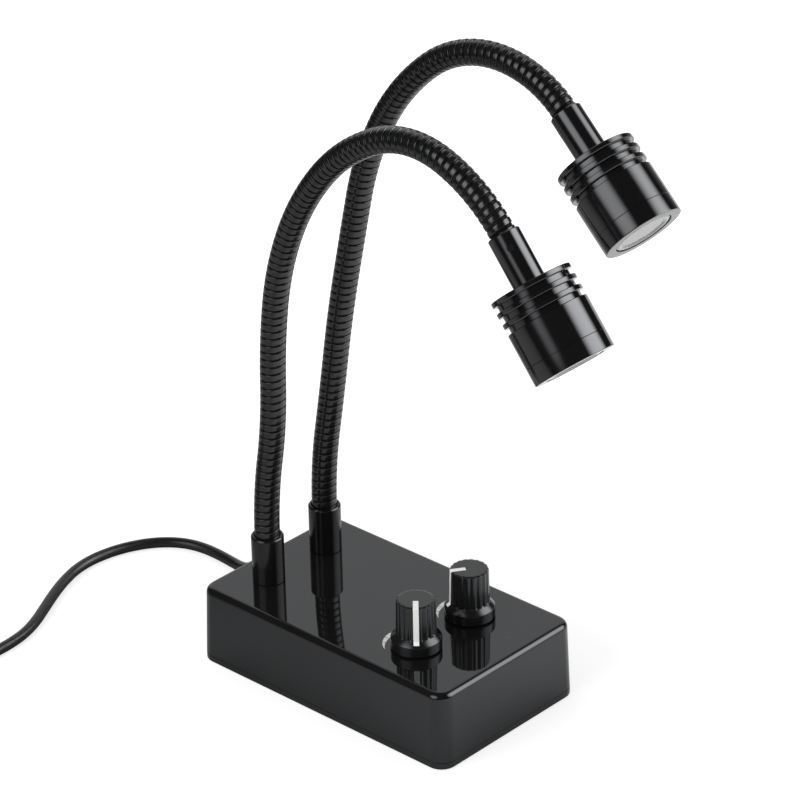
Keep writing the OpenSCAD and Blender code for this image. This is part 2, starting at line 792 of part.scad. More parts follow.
module led(side) {
    color("khaki") on_head(side) translate([0, 0, cavity_floor + led_board_t]) {
        translate([-led_side / 2, -led_side / 2, 0]) cube([led_side, led_side, led_t]);
        intersection() {
            translate([0, 0, led_t]) sphere(r = led_dome_r);
            translate([-led_side, -led_side, led_t / 2]) cube(2 * led_side);
        }
    }
}

// Cord

module at_cord_exit() {
    inner_y = base_length / 2 - wall - (cord_exit_z - cover) * slope;
    translate([cord_exit_x, inner_y, cord_exit_z]) rotate([-90, 0, 0]) children();
}

module cord_grommet() {
    slack = 0.3;
    flange_t = 1.2;
    tip_wall = 0.5;
    bore = cord_d / 2 + hole_gap;
    neck_r = grommet_d / 2;
    outer_r = grommet_flange_d / 2;
    inner_r = outer_r - slack;
    face = wall + slack;
    tip = wall + grommet_length;
    profile = [
        [bore, -flange_t - hole_gap], [inner_r, -flange_t - hole_gap], [inner_r, -hole_gap],
        [neck_r, -hole_gap], [neck_r, face], [outer_r, face], [outer_r, face + flange_t],
        [neck_r, face + flange_t], [bore + tip_wall, tip], [bore, tip]
    ];
    color([0.08, 0.08, 0.08]) at_cord_exit() rotate_extrude() polygon(profile);
}

module power_cord() {
    color([0.08, 0.08, 0.08]) skin(tube(cord_route, cord_d, sides));
}

// Height of the coil's two layers, and its radius and centre line at an angle from the start
coil_low = route_end.z;
coil_high = coil_low + turn_pitch;
function coil_radius(f) = coil_r - turn_pitch * min(f, coil_end - f) / full_turn;
function eased(t) = let (u = min(max(t, 0), 1)) u * u * (3 - 2 * u);
function coil_point(f) = [
    coil_x - coil_radius(f) * sin(f),
    coil_y - coil_radius(f) * cos(f),
    coil_low + (coil_high - coil_low) * eased((f - coil_mid + 90) / 180)
];
coil_path = concat(
    [route_end],
    [for (k = [0 : coil_turns * coil_steps]) coil_point(full_turn * k / coil_steps)],
    [for (t = [0.25 : 0.25 : 1])
        [coil_x + coil_tail * t, plug_y, coil_high + (plug_z - coil_high) * eased(t)]],
    [[plug_x, plug_y, plug_z]]
);
coil_self_gap = min([
    for (i = [0 : len(coil_path) - 1], j = [i + coil_steps / 2 : 1 : len(coil_path) - 1])
        norm(coil_path[i] - coil_path[j])
]) - cord_d;
echo(least_gap_between_turns = coil_self_gap);

module cord_coil() {
    color([0.08, 0.08, 0.08]) skin(tube(coil_path, cord_d, coil_sides));
}

// A strap round the stacked turns on the +X side of the coil
module cord_tie() {
    slack = 0.4;
    low_r = min([for (f = [270 : 360 : coil_end]) coil_radius(f)]) - cord_d / 2 - slack;
    high_r = max([for (f = [270 : 360 : coil_end]) coil_radius(f)]) + cord_d / 2 + slack;
    high_z = coil_high + cord_d / 2 + slack;
    color([0.1, 0.1, 0.1]) translate([coil_x, coil_y + tie_w / 2, 0]) rotate([90, 0, 0])
        linear_extrude(tie_w) difference() {
            translate([low_r - tie_t, 0]) square([high_r - low_r + 2 * tie_t, high_z + tie_t]);
            translate([low_r, tie_t]) square([high_r - low_r, high_z - tie_t]);
        }
}

module plug_grip() {
    root = 1;
    tongue_w = plug_shell_size.x - 1 - 2 * plug_shell_t;
    tongue_length = plug_shell_size.y - 1;
    corner = 2.5;
    relief_d = cord_d + 1.2;
    relief_end_d = plug_t - 1;
    half = rounded(plug_length / 2, plug_w / 2, corner, 0);
    color([0.08, 0.08, 0.08]) translate([plug_x, plug_y, 0]) {
        translate([relief_length + plug_length / 2, 0, 0]) linear_extrude(plug_t)
            polygon([for (p = half) [p.x, p.y]]);
        translate([0, 0, plug_z]) rotate([0, 90, 0])
            cylinder(d1 = relief_d, d2 = relief_end_d, h = relief_length + root);
        translate([relief_length + plug_length - root, -tongue_w / 2, plug_z])
            cube([tongue_length + root, tongue_w, plug_tongue_t]);
    }
}

module plug_shell() {
    size = plug_shell_size;
    window = 2.2;
    color("silver") translate([plug_x + relief_length + plug_length, plug_y, plug_z]) difference() {
        translate([0, -size.x / 2, -size.z / 2]) cube([size.y, size.x, size.z]);
        translate([-past, plug_shell_t - size.x / 2, plug_shell_t - size.z / 2])
            cube([size.y + 2 * past, size.x - 2 * plug_shell_t, size.z - 2 * plug_shell_t]);
        for (s = both) translate([size.y / 2 - window / 2, s * size.x / 4 - window / 2, 0])
            cube([window, window, size.z]);
    }
}

base_shell();
bottom_cover();
cover_screws();
driver_board();
board_components();
board_screws();
pot_nuts();
pot_washers();
ferrule_nuts();
ferrule_washers();
cord_grommet();
power_cord();
cord_coil();
cord_tie();
plug_grip();
plug_shell();
for (side = both) {
    s = side == left ? "left" : "right";
    potentiometer(side);
    pot_shaft(side);
    knob(side);
    pointer(side);
    ferrule(side);
    head_stem(side);
    stem_screw(side);
    head_barrel(side);
    head_bezel(side);
    lens(side);
    lens_seal(side);
    led_board(side);
    led(side);
    for (i = [1 : links])
        neck_link(side, i);
}
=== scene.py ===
"""Finished pieces of a dual gooseneck LED illuminator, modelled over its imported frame.

Metres, +Z up. The origin is the centre of the underside of the base. The knobs are at the front
(-Y), the necks and the cord at the rear (+Y), and left is the -X side.
"""

import math

import bmesh
import bpy
from bpy.props import FloatProperty, FloatVectorProperty, IntProperty, PointerProperty
from mathutils import Matrix, Vector


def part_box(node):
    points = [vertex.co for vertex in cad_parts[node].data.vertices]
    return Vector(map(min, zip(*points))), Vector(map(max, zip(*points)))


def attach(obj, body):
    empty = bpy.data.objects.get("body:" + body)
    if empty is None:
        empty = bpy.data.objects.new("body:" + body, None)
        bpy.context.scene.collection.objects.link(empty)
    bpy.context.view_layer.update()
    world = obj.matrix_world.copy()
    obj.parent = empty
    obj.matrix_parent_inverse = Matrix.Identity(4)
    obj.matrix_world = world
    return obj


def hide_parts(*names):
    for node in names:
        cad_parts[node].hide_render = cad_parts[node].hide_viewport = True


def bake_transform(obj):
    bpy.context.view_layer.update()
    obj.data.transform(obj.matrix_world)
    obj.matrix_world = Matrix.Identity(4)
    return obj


bl_info = {
    "name": "Dual gooseneck LED illuminator",
    "version": (1, 0, 0),
    "blender": (4, 5, 0),
    "location": "3D View > Sidebar > Illuminator",
    "description": "Models and stages a bench light with two goosenecks and two dimmers",
    "category": "Object",
}

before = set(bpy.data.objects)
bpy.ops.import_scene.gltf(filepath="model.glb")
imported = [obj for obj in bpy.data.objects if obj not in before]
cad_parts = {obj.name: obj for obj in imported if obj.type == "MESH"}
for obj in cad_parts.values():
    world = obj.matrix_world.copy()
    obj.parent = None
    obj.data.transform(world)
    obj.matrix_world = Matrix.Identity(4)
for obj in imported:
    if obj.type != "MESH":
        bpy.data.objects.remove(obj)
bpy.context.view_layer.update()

MM = 0.001
SIDES = {"left": -1, "right": 1}


# Sizes and colours


def size(description, millimetres):
    """A length, written in millimetres and kept in metres."""
    length = millimetres * MM
    return FloatProperty(description=description, default=length, unit="LENGTH", precision=5)


def angle(description, degrees):
    """An angle, written in degrees and kept in radians."""
    turn = math.radians(degrees)
    return FloatProperty(description=description, default=turn, unit="ROTATION")


def link_bends(description, degrees):
    """The bend of each link of a neck, in degrees."""
    return FloatVectorProperty(description=description, size=len(degrees), default=degrees)


def count(description, default):
    """A number of things."""
    return IntProperty(description=description, default=default, min=1)


def colour(description, rgb):
    """A colour of the finish."""
    return FloatVectorProperty(description=description, default=rgb, subtype="COLOR", min=0, max=1)


class BaseSizes(bpy.types.PropertyGroup):
    """Sizes of the moulded base and its cover"""

    length: size("Front to rear", 100)
    width: size("Side to side", 60)
    height: size("From the table to the panel", 25)
    corner: size("Radius of the upright corners", 5)
    top_edge: size("Radius of the edge round the panel", 2)
    draft: angle("Lean of the side walls", 1.5)
    cover: size("Thickness of the bottom cover", 2.2)
    seam: size("Chamfer on both edges of the seam", 0.25)
    screw_inset: size("Distance of a cover screw from the sides", 5)
    screw_head: size("Diameter of a countersink in the cover", 5.9)


class KnobSizes(bpy.types.PropertyGroup):
    """Sizes and settings of the two dimmer knobs"""

    spacing: size("Distance between the knobs", 23.6)
    shift: size("Middle of the pair from the middle of the base", -0.7)
    row: size("Place of the knobs along Y", -24.2)
    skirt: size("Diameter of the skirt", 15.3)
    skirt_height: size("Upright side of the skirt", 3.4)
    shoulder: size("Height of the sloping shoulder", 1.3)
    grip: size("Diameter of the grip at its foot", 12.1)
    grip_top: size("Diameter of the grip at its top", 11.6)
    height: size("From skirt to top", 15.8)
    lift: size("Gap between a knob and the panel", 0.4)
    flute: size("Depth of a flute at its foot", 0.42)
    flutes: count("Flutes round the grip", 18)
    pointer: size("Width of the white pointer", 1.7)
    pointer_start: size("From the middle of a knob to its pointer", 1.1)
    off: angle("Direction of a pointer at off, from +X", 223)
    left_setting: angle("Clockwise turn of the left knob from off", 0)
    right_setting: angle("Clockwise turn of the right knob from off", 78)


class DialSizes(bpy.types.PropertyGroup):
    """Sizes of the crescent that is printed round a knob"""

    inner: size("Radius of the inner edge", 9.4)
    widest: size("Width at the middle of the crescent", 1.9)
    start: angle("Direction of its first tip, from +X", 140)
    sweep: angle("Clockwise angle from tip to tip", 140)
    tick: size("Width of a gap that marks a setting", 0.28)


class NeckSizes(bpy.types.PropertyGroup):
    """Sizes and bends of the necks and their ferrules"""

    spacing: size("Distance between the necks", 25)
    row: size("Place of the necks along Y", 36.5)
    diameter: size("Diameter over the windings", 7.8)
    groove: size("Depth of the groove between two windings", 0.5)
    link: size("Hose between two hinges", 26.5)
    turns: count("Windings in a link", 11)
    left_bends: link_bends("Forward bend of each left link", (10, -9, 7, 15, 17.5, 24, 45.5, 29.5))
    right_bends: link_bends("Forward bend of each right link", (8, -1, 3, 0.5, 15.5, 24, 44.5, 38))
    left_aim: angle("Turn of the left neck towards -X", -2)
    right_aim: angle("Turn of the right neck towards -X", -25)
    left_twist: angle("Turn of each left link on the one below", -0.5)
    right_twist: angle("Turn of each right link on the one below", -3.8)
    ferrule: size("Diameter of a ferrule", 10)
    ferrule_height: size("From the panel to the mouth", 15.5)
    seat: size("Bore of ferrule and stem", 8.1)


class HeadSizes(bpy.types.PropertyGroup):
    """Sizes of the spot heads"""

    diameter: size("Diameter of barrel and bezel", 24.3)
    length: size("From the rear face to the front", 25.6)
    bezel: size("Length of the bezel ring", 5.3)
    fins: count("Cooling fins", 3)
    fin: size("Width of a fin", 1.5)
    fin_gap: size("Width of the gap after a fin", 1.75)
    fin_depth: size("Depth of the gap", 1.2)
    stem: size("Diameter of the stem", 9.6)
    stem_length: size("From its mouth to the barrel", 15.4)
    screw: size("Diameter of the hole for the clamp screw", 1.9)
    screw_at: size("From the mouth of the stem", 4.7)
    left_screw: angle("Turn of the left clamp screw from -X", -45)
    right_screw: angle("Turn of the right clamp screw from -X", 45)
    window: size("Opening in the bezel", 17.8)
    lens_flat: size("Flat middle of the lens", 13.6)


class CordSizes(bpy.types.PropertyGroup):
    """Sizes of the supply cord, its coil and its plug"""

    diameter: size("Diameter of the cord", 3.4)
    exit_x: size("Place of the exit in the rear wall", 12)
    exit_z: size("Height of the exit", 8)
    coil_radius: size("Middle of the outer turn", 26)
    turn_gap: size("Gap between two turns", 0.45)
    turns: FloatProperty(description="Turns of the coil, in and out", default=6.5)
    plug_length: size("Length of the grip", 22)
    plug_width: size("Width of the grip", 15)
    plug_height: size("Thickness of the grip", 8.5)
    relief: size("Length of the strain relief at the plug", 8)


class FinishColours(bpy.types.PropertyGroup):
    """Colours of the finishes"""

    base: colour("Polished black plastic", (0.0075, 0.0075, 0.008))
    knob: colour("Satin black plastic", (0.008, 0.008, 0.0085))
    anodised: colour("Black anodised metal", (0.006, 0.006, 0.0065))
    neck: colour("Blackened steel winding", (0.008, 0.0083, 0.0086))
    cord: colour("Black cord jacket", (0.007, 0.007, 0.0074))
    white: colour("Pointer and dial print", (0.95, 0.95, 0.94))
    steel: colour("Plated steel", (0.56, 0.56, 0.57))
    board: colour("Solder mask of the driver board", (0.01, 0.075, 0.03))
    phosphor: colour("Face of an LED", (0.78, 0.6, 0.13))


class Illuminator(bpy.types.PropertyGroup):
    """Everything that can be set on the illuminator"""

    base: PointerProperty(type=BaseSizes)
    knob: PointerProperty(type=KnobSizes)
    dial: PointerProperty(type=DialSizes)
    neck: PointerProperty(type=NeckSizes)
    head: PointerProperty(type=HeadSizes)
    cord: PointerProperty(type=CordSizes)
    finish: PointerProperty(type=FinishColours)


# Modelling


def leave_edit():
    """Go back to object mode."""
    if bpy.context.mode != "OBJECT":
        bpy.ops.object.mode_set(mode="OBJECT")


def pick(piece, *others):
    """Select pieces in object mode and make the first one active."""
    leave_edit()
    bpy.ops.object.select_all(action="DESELECT")
    for each in (piece, *others):
        each.select_set(True)
    bpy.context.view_layer.objects.active = piece


def move(piece, place):
    """Put the selected piece in its place, and keep the place in its mesh."""
    leave_edit()
    piece.matrix_world = place
    bpy.ops.object.transform_apply(location=True, rotation=True, scale=True)


def add(name, operator, **how):
    """Add an object by itself and name it."""
    leave_edit()
    bpy.ops.object.select_all(action="DESELECT")
    operator(**how)
    made = bpy.context.object
    made.name = made.data.name = name
    return made


def draw(name, kind, knots):
    """An empty curve of one spline, with room for its knots: the object and the spline."""
    data = bpy.data.curves.new(name, "CURVE")
    data.dimensions = "3D"
    spline = data.splines.new(kind)
    (spline.bezier_points if kind == "BEZIER" else spline.points).add(knots - 1)
    line = bpy.data.objects.new(name, data)
    bpy.context.collection.objects.link(line)
    return line, spline


def start(name, primitive, **how):
    """Add a primitive by itself and open it in edit mode."""
    piece = add(name, primitive, **how)
    bpy.ops.object.transform_apply(location=True, rotation=True, scale=True)
    bpy.ops.object.mode_set(mode="EDIT")
    bpy.ops.mesh.select_mode(type="VERT")
    return piece


def block(name, low, high):
    """A box between two corners, open in edit mode."""
    low, high = Vector(low), Vector(high)
    middle, extent = (low + high) / 2, high - low
    return start(name, bpy.ops.mesh.primitive_cube_add, size=1, location=middle, scale=extent)


def select(piece, kind, test):
    """Select the vertices, edges or faces in edit mode that pass a test."""
    bpy.ops.mesh.select_mode(type=kind)
    bpy.ops.mesh.select_all(action="DESELECT")
    mesh = bmesh.from_edit_mesh(piece.data)
    for part in {"VERT": mesh.verts, "EDGE": mesh.edges, "FACE": mesh.faces}[kind]:
        if test(part):
            part.select_set(True)
    mesh.select_flush_mode()
    bmesh.update_edit_mesh(piece.data)


def upright(edge):
    """Whether an edge runs up and down."""
    low, high = edge.verts[0].co, edge.verts[1].co
    return abs(low.z - high.z) > 2 * (low.xy - high.xy).length


def level(z):
    """A test for edges at one height."""
    return lambda edge: all(abs(vert.co.z - z) < 1e-6 for vert in edge.verts)


def round_edges(piece, test, radius, rounds):
    """Round the edges in edit mode that pass a test."""
    select(piece, "EDGE", test)
    bpy.ops.mesh.bevel(offset=radius, segments=rounds, profile=0.5, affect="EDGES")


def extrude(step):
    """Draw the selection on by a step."""
    bpy.ops.mesh.extrude_region_move(TRANSFORM_OT_translate={"value": step})


def turned(name, profile, segments=96, caps=True):
    """A turned piece from pairs of radius and height: a circle that is drawn on ring by ring. The
    two ends get caps, or else the last ring meets the first."""
    radius, z = profile[0]
    circle = bpy.ops.mesh.primitive_circle_add
    piece = start(name, circle, vertices=segments, radius=radius, location=(0, 0, z))
    bpy.ops.mesh.select_all(action="SELECT")
    if caps:
        bpy.ops.mesh.edge_face_add()
        bpy.ops.mesh.select_mode(type="EDGE")
        bpy.ops.mesh.region_to_loop()
    for (r0, z0), (r1, z1) in zip(profile, profile[1:]):
        extrude((0, 0, z1 - z0))
        bpy.ops.transform.resize(value=(r1 / r0, r1 / r0, 1), center_override=(0, 0, z1))
    if caps:
        bpy.ops.mesh.edge_face_add()
    close_up()
    return piece


def close_up():
    """Merge what meets, and point all faces outwards."""
    bpy.ops.mesh.select_all(action="SELECT")
    bpy.ops.mesh.remove_doubles(threshold=2e-6)
    bpy.ops.mesh.normals_make_consistent(inside=False)


def modify(piece, kind, **settings):
    """Add a modifier to the active piece and apply it."""
    modifier = piece.modifiers.new(kind.title(), kind)
    for name, value in settings.items():
        setattr(modifier, name, value)
    bpy.ops.object.modifier_apply(modifier=modifier.name)


def finish(piece, round_by=0.0, place=None, smooth=30):
    """Leave edit mode, round the edges, put the piece in its place and smooth its faces."""
    leave_edit()
    if round_by:
        sharp = math.radians(28)
        modify(
            piece, "BEVEL", width=round_by, segments=2, limit_method="ANGLE", angle_limit=sharp
        )
    if place is not None:
        move(piece, place)
    bpy.ops.object.shade_smooth_by_angle(angle=math.radians(smooth))
    modify(piece, "WEIGHTED_NORMAL", keep_sharp=True, weight=60)
    return piece


def again(piece, name, place):
    """A copy of a piece with its own mesh, in another place."""
    pick(piece)
    bpy.ops.object.duplicate(linked=False)
    copy = bpy.context.object
    copy.name = copy.data.name = name
    move(copy, place)
    return copy


def discard(piece):
    """Remove a piece that was only a pattern or a cutter."""
    mesh = piece.data
    bpy.data.objects.remove(piece)
    bpy.data.meshes.remove(mesh)


def cut(piece, cutter):
    """Cut one piece from another, and remove the cutter."""
    pick(piece)
    modify(piece, "BOOLEAN", operation="DIFFERENCE", object=cutter, solver="EXACT")
    discard(cutter)


def dress(piece, material, body, slot, *nodes):
    """Give a piece its material, the body it rides on and the nodes it stands for."""
    piece.data.materials.clear()
    piece.data.materials.append(bpy.data.materials[material])
    if body:
        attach(piece, body)
    if nodes:
        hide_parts(*nodes)
    return piece


# Places


def knob_place(settings, side, lift=0.0):
    """Place of a knob's axis, at a height above the panel."""
    knob = settings.knob
    x = SIDES[side] * knob.spacing / 2 + knob.shift
    return Matrix.Translation((x, knob.row, settings.base.height + lift))


def neck_foot(settings, side):
    """Place on the panel where a neck stands."""
    neck = settings.neck
    x = SIDES[side] * neck.spacing / 2
    return Matrix.Translation((x, neck.row, settings.base.height))


def bends_of(neck, side):
    """Bends in radians, aim and twist of one neck."""
    bends = [math.radians(b) for b in getattr(neck, f"{side}_bends")]
    return bends, getattr(neck, f"{side}_aim"), getattr(neck, f"{side}_twist")


def on_neck(settings, side, distance):
    """Place on the centre line of a neck, at a distance from the mouth of its ferrule, with +Z
    along the neck."""
    neck = settings.neck
    link = neck.link
    bends, aim, twist = bends_of(neck, side)
    mouth = Matrix.Translation((0, 0, neck.ferrule_height))
    place = neck_foot(settings, side) @ Matrix.Rotation(-aim, 4, "Z") @ mouth
    if distance < 0:
        return place @ Matrix.Translation((0, 0, distance))
    for number, bend in enumerate(bends):
        if number > 0:
            place = place @ Matrix.Rotation(twist, 4, "Z")
        part = min(distance, link)
        turn = bend * part / link
        if abs(turn) > 1e-6:
            radius = link / bend
            step = Vector((0, -radius * (1 - math.cos(turn)), radius * math.sin(turn)))
        else:
            step = Vector((0, 0, part))
        place = place @ Matrix.Translation(step) @ Matrix.Rotation(turn, 4, "X")
        distance -= part
        if distance <= 0:
            return place
    return place @ Matrix.Translation((0, 0, distance))


def stem_mouth(settings, side):
    """Place of the mouth of a head's stem, with +Z towards the front of the head."""
    bends, _, twist = bends_of(settings.neck, side)
    end = on_neck(settings, side, settings.neck.link * len(bends))
    return end @ Matrix.Rotation(twist, 4, "Z")


# Shader nodes


def put(tree, kind, inputs=None, **settings):
    """Add a shader node, with values or links for its inputs, and return its outputs."""
    made = tree.nodes.new(f"ShaderNode{kind}")
    for name, value in settings.items():
        setattr(made, name, value)
    for name, value in (inputs or {}).items():
        if isinstance(value, bpy.types.NodeSocket):
            tree.links.new(value, made.inputs[name])
        else:
            made.inputs[name].default_value = value
    return made.outputs


def reckon(tree, operation, *values):
    """A sum on values or links."""
    return put(tree, "Math", dict(enumerate(values)), operation=operation)["Value"]


def dot(tree, vector, direction):
    """How far a vector reaches in a direction."""
    return put(tree, "VectorMath", {0: vector, 1: direction}, operation="DOT_PRODUCT")["Value"]


def ranged(tree, value, low, high, to_max=1.0, to_min=0.0, **settings):
    """A value brought from one range to another."""
    ends = {"From Min": low, "From Max": high, "To Min": to_min, "To Max": to_max}
    return put(tree, "MapRange", {"Value": value, **ends}, **settings)["Result"]


def noise(tree, vector, scale, **inputs):
    """Noise over a vector."""
    return put(tree, "TexNoise", {"Vector": vector, "Scale": scale, **inputs})["Fac"]


def mixed(tree, factor, a, b, kind="RGBA"):
    """A colour, or a value, that a factor turns into another one."""
    return put(tree, "Mix", {"Factor": factor, "A": a, "B": b}, data_type=kind)["Result"]


def mirrored_ray(tree, path):
    """1 for what is seen in a gloss or through the lens, else 0."""
    return reckon(tree, "MAXIMUM", path["Is Glossy Ray"], path["Is Transmission Ray"])


# Shared effects


def effect(build, **values):
    """A shared effect as a node group: a vector and named values go in, and what the function
    builds comes out."""
    tree = bpy.data.node_groups.new(build.__name__, "ShaderNodeTree")
    face = tree.interface
    face.new_socket("Vector", in_out="INPUT", socket_type="NodeSocketVector")
    for name, value in values.items():
        kind = "NodeSocketFloat" if isinstance(value, float) else "NodeSocketColor"
        face.new_socket(name, in_out="INPUT", socket_type=kind).default_value = value
    results = build(tree, tree.nodes.new("NodeGroupInput").outputs)
    for name, socket in results.items():
        kind = "NodeSocketColor" if socket.type == "RGBA" else "NodeSocketFloat"
        face.new_socket(name, in_out="OUTPUT", socket_type=kind)
    ends = tree.nodes.new("NodeGroupOutput").inputs
    for name, socket in results.items():
        tree.links.new(socket, ends[name])


def moulded_skin(tree, given):
    """Fine skin of moulded plastic: height for a bump, and a slow change of shade."""
    return {
        "Height": noise(tree, given["Vector"], given["Grain"]),
        "Shade": noise(tree, given["Vector"], 45.0, Detail=3.0),
    }


def handled_gloss(tree, given):
    """Roughness of a polished surface that hands have touched: soft smears and hairline marks."""
    smear = noise(tree, given["Vector"], 60.0, Detail=4.0, Distortion=0.6)
    smear = ranged(tree, smear, 0.45, 0.75, given["Smears"])
    stretch = {"Vector": given["Vector"], "Scale": (700.0, 40.0, 220.0)}
    line = noise(tree, put(tree, "Mapping", stretch)["Vector"], 1.0, Detail=2.0)
    line = ranged(tree, line, 0.62, 0.7, given["Hairlines"])
    worn = reckon(tree, "ADD", smear, line)
    return {"Roughness": reckon(tree, "ADD", worn, given["Roughness"])}


def settled_dust(tree, given):
    """Colour with a few pale specks of dust on what faces up."""
    speck = put(tree, "TexVoronoi", {"Vector": given["Vector"], "Scale": 330.0})
    close = ranged(tree, speck["Distance"], 0.05, 0.02)
    chosen = put(tree, "SeparateColor", {"Color": speck["Color"]})["Red"]
    rare = reckon(tree, "GREATER_THAN", chosen, 0.93)
    facing = put(tree, "SeparateXYZ", {"Vector": put(tree, "NewGeometry")["Normal"]})["Z"]
    mask = reckon(tree, "MULTIPLY", close, rare)
    mask = reckon(tree, "MULTIPLY", mask, ranged(tree, facing, 0.2, 0.9))
    mask = reckon(tree, "MULTIPLY", mask, given["Amount"])
    return {"Color": mixed(tree, mask, given["Color"], (0.5, 0.49, 0.47, 1))}


def tool_lines(tree, given):
    """Fine rings that a lathe tool leaves round the Z axis of the vector."""
    along = put(tree, "SeparateXYZ", {"Vector": given["Vector"]})["Z"]
    rings = {"W": along, "Scale": given["Lines"], "Detail": 2.0}
    return {
        "Height": put(tree, "TexNoise", rings, noise_dimensions="1D")["Fac"],
        "Shade": noise(tree, given["Vector"], 130.0, Detail=3.0),
    }


# Materials


class Coat:
    """A new material that is built up on its Principled shader."""

    def __init__(self, name, rgb, gloss, place=None, **shader):
        """Begin with a colour, a handled gloss (roughness, smears, hairlines) and values for the
        shader. Patterns follow the object's coordinates, or those of a place."""
        material = bpy.data.materials.new(name)
        material.use_nodes = True
        material.diffuse_color = (*rgb, 1)
        self.rgb, self.tree = rgb, material.node_tree
        self.inputs = self.tree.nodes["Principled BSDF"].inputs
        for socket, value in {"Base_Color": (*rgb, 1), **shader}.items():
            self.inputs[socket.replace("_", " ")].default_value = value
        self.where = put(self.tree, "TexCoord")["Object"]
        if place is not None:
            back = place.inverted()
            at, turn = back.to_translation(), back.to_euler()
            local = {"Vector": self.where, "Location": at, "Rotation": turn}
            self.where = put(self.tree, "Mapping", local)["Vector"]
        roughness, smears, hairlines = gloss
        worn = self.use(
            "handled_gloss", Roughness=roughness, Smears=smears, Hairlines=hairlines
        )
        self.tree.links.new(worn["Roughness"], self.inputs["Roughness"])

    def use(self, group, **inputs):
        """Place a shared effect in the material."""
        tree = bpy.data.node_groups[group]
        return put(self.tree, "Group", {"Vector": self.where, **inputs}, node_tree=tree)

    def tint(self, mask, dark, light, dust=None):
        """Make the colour darker or lighter by a mask, with dust on top."""
        ends = ((*(c * share for c in self.rgb), 1) for share in (dark, light))
        tone = mixed(self.tree, mask, *ends)
        if dust is not None:
            tone = self.use("settled_dust", Color=tone, Amount=dust)["Color"]
        self.tree.links.new(tone, self.inputs["Base Color"])

    def bump(self, height, strength, depth):
        """Raise the surface by a height."""
        relief = {"Height": height, "Strength": strength, "Distance": depth}
        self.tree.links.new(put(self.tree, "Bump", relief)["Normal"], self.inputs["Normal"])


def moulded(name, rgb, gloss, grain, tones, relief, dust=None, mask="Shade", **shader):
    """Moulded, cast or printed: a fine skin, handling marks and perhaps a little dust."""
    coat = Coat(name, rgb, gloss, **shader)
    skin = coat.use("moulded_skin", Grain=grain)
    coat.tint(skin[mask], *tones, dust)
    coat.bump(skin["Height"], *relief)


def turned_metal(name, rgb, place, roughness, lines=9000.0, ior=1.65, metallic=0.0):
    """Turned metal, with tool lines round the axis of its place."""
    tint = (0.95, 0.96, 1, 1)
    gloss = (roughness, 0.05, 0.04)
    coat = Coat(name, rgb, gloss, place, IOR=ior, Metallic=metallic, Specular_Tint=tint)
    ring = coat.use("tool_lines", Lines=lines)
    coat.tint(ring["Shade"], 0.7, 1.3)
    coat.bump(ring["Height"], 0.06, 0.01 * MM)


def wound_steel(name, rgb):
    """Blackened steel winding with uneven oxide."""
    coat = Coat(name, rgb, (0.15, 0.08, 0.06), IOR=1.55)
    oxide = noise(coat.tree, coat.where, 420.0, Detail=5.0, Roughness=0.6)
    coat.tint(oxide, 0.55, 1.5)
    coat.bump(coat.use("moulded_skin", Grain=5200.0)["Height"], 0.12, 0.03 * MM)


def woven(name, rgb):
    """Woven strap: crossed threads."""
    coat = Coat(name, rgb, (0.7, 0.1, 0.1), Sheen_Weight=0.25)
    wave = {"Vector": coat.where, "Scale": 420.0, "Distortion": 0.6}
    warp, weft = (put(coat.tree, "TexWave", wave, bands_direction=way)["Fac"] for way in "YZ")
    thread = reckon(coat.tree, "MULTIPLY", warp, weft)
    coat.tint(thread, 0.6, 1.9)
    coat.bump(thread, 0.5, 0.12 * MM)


def optic(name):
    """Clear moulded lens: faint flow marks in a polished face."""
    gloss = (0.02, 0.03, 0.02)
    coat = Coat(name, (0.93, 0.94, 0.95), gloss, IOR=1.49, Transmission_Weight=0.45)
    coat.bump(coat.use("moulded_skin", Grain=300.0)["Shade"], 0.05, 0.05 * MM)


def circuit(name, rgb):
    """Driver board: solder mask over a maze of tracks."""
    coat = Coat(name, rgb, (0.3, 0.08, 0.05), IOR=1.5)
    maze = {"Vector": coat.where, "Scale": 260.0, "Randomness": 0.35}
    kind = {"distance": "CHEBYCHEV", "feature": "DISTANCE_TO_EDGE"}
    cell = put(coat.tree, "TexVoronoi", maze, **kind)["Distance"]
    track = ranged(coat.tree, cell, 0.06, 0.1)
    coat.tint(track, 1.9, 0.9)
    coat.bump(track, 0.3, 0.03 * MM)


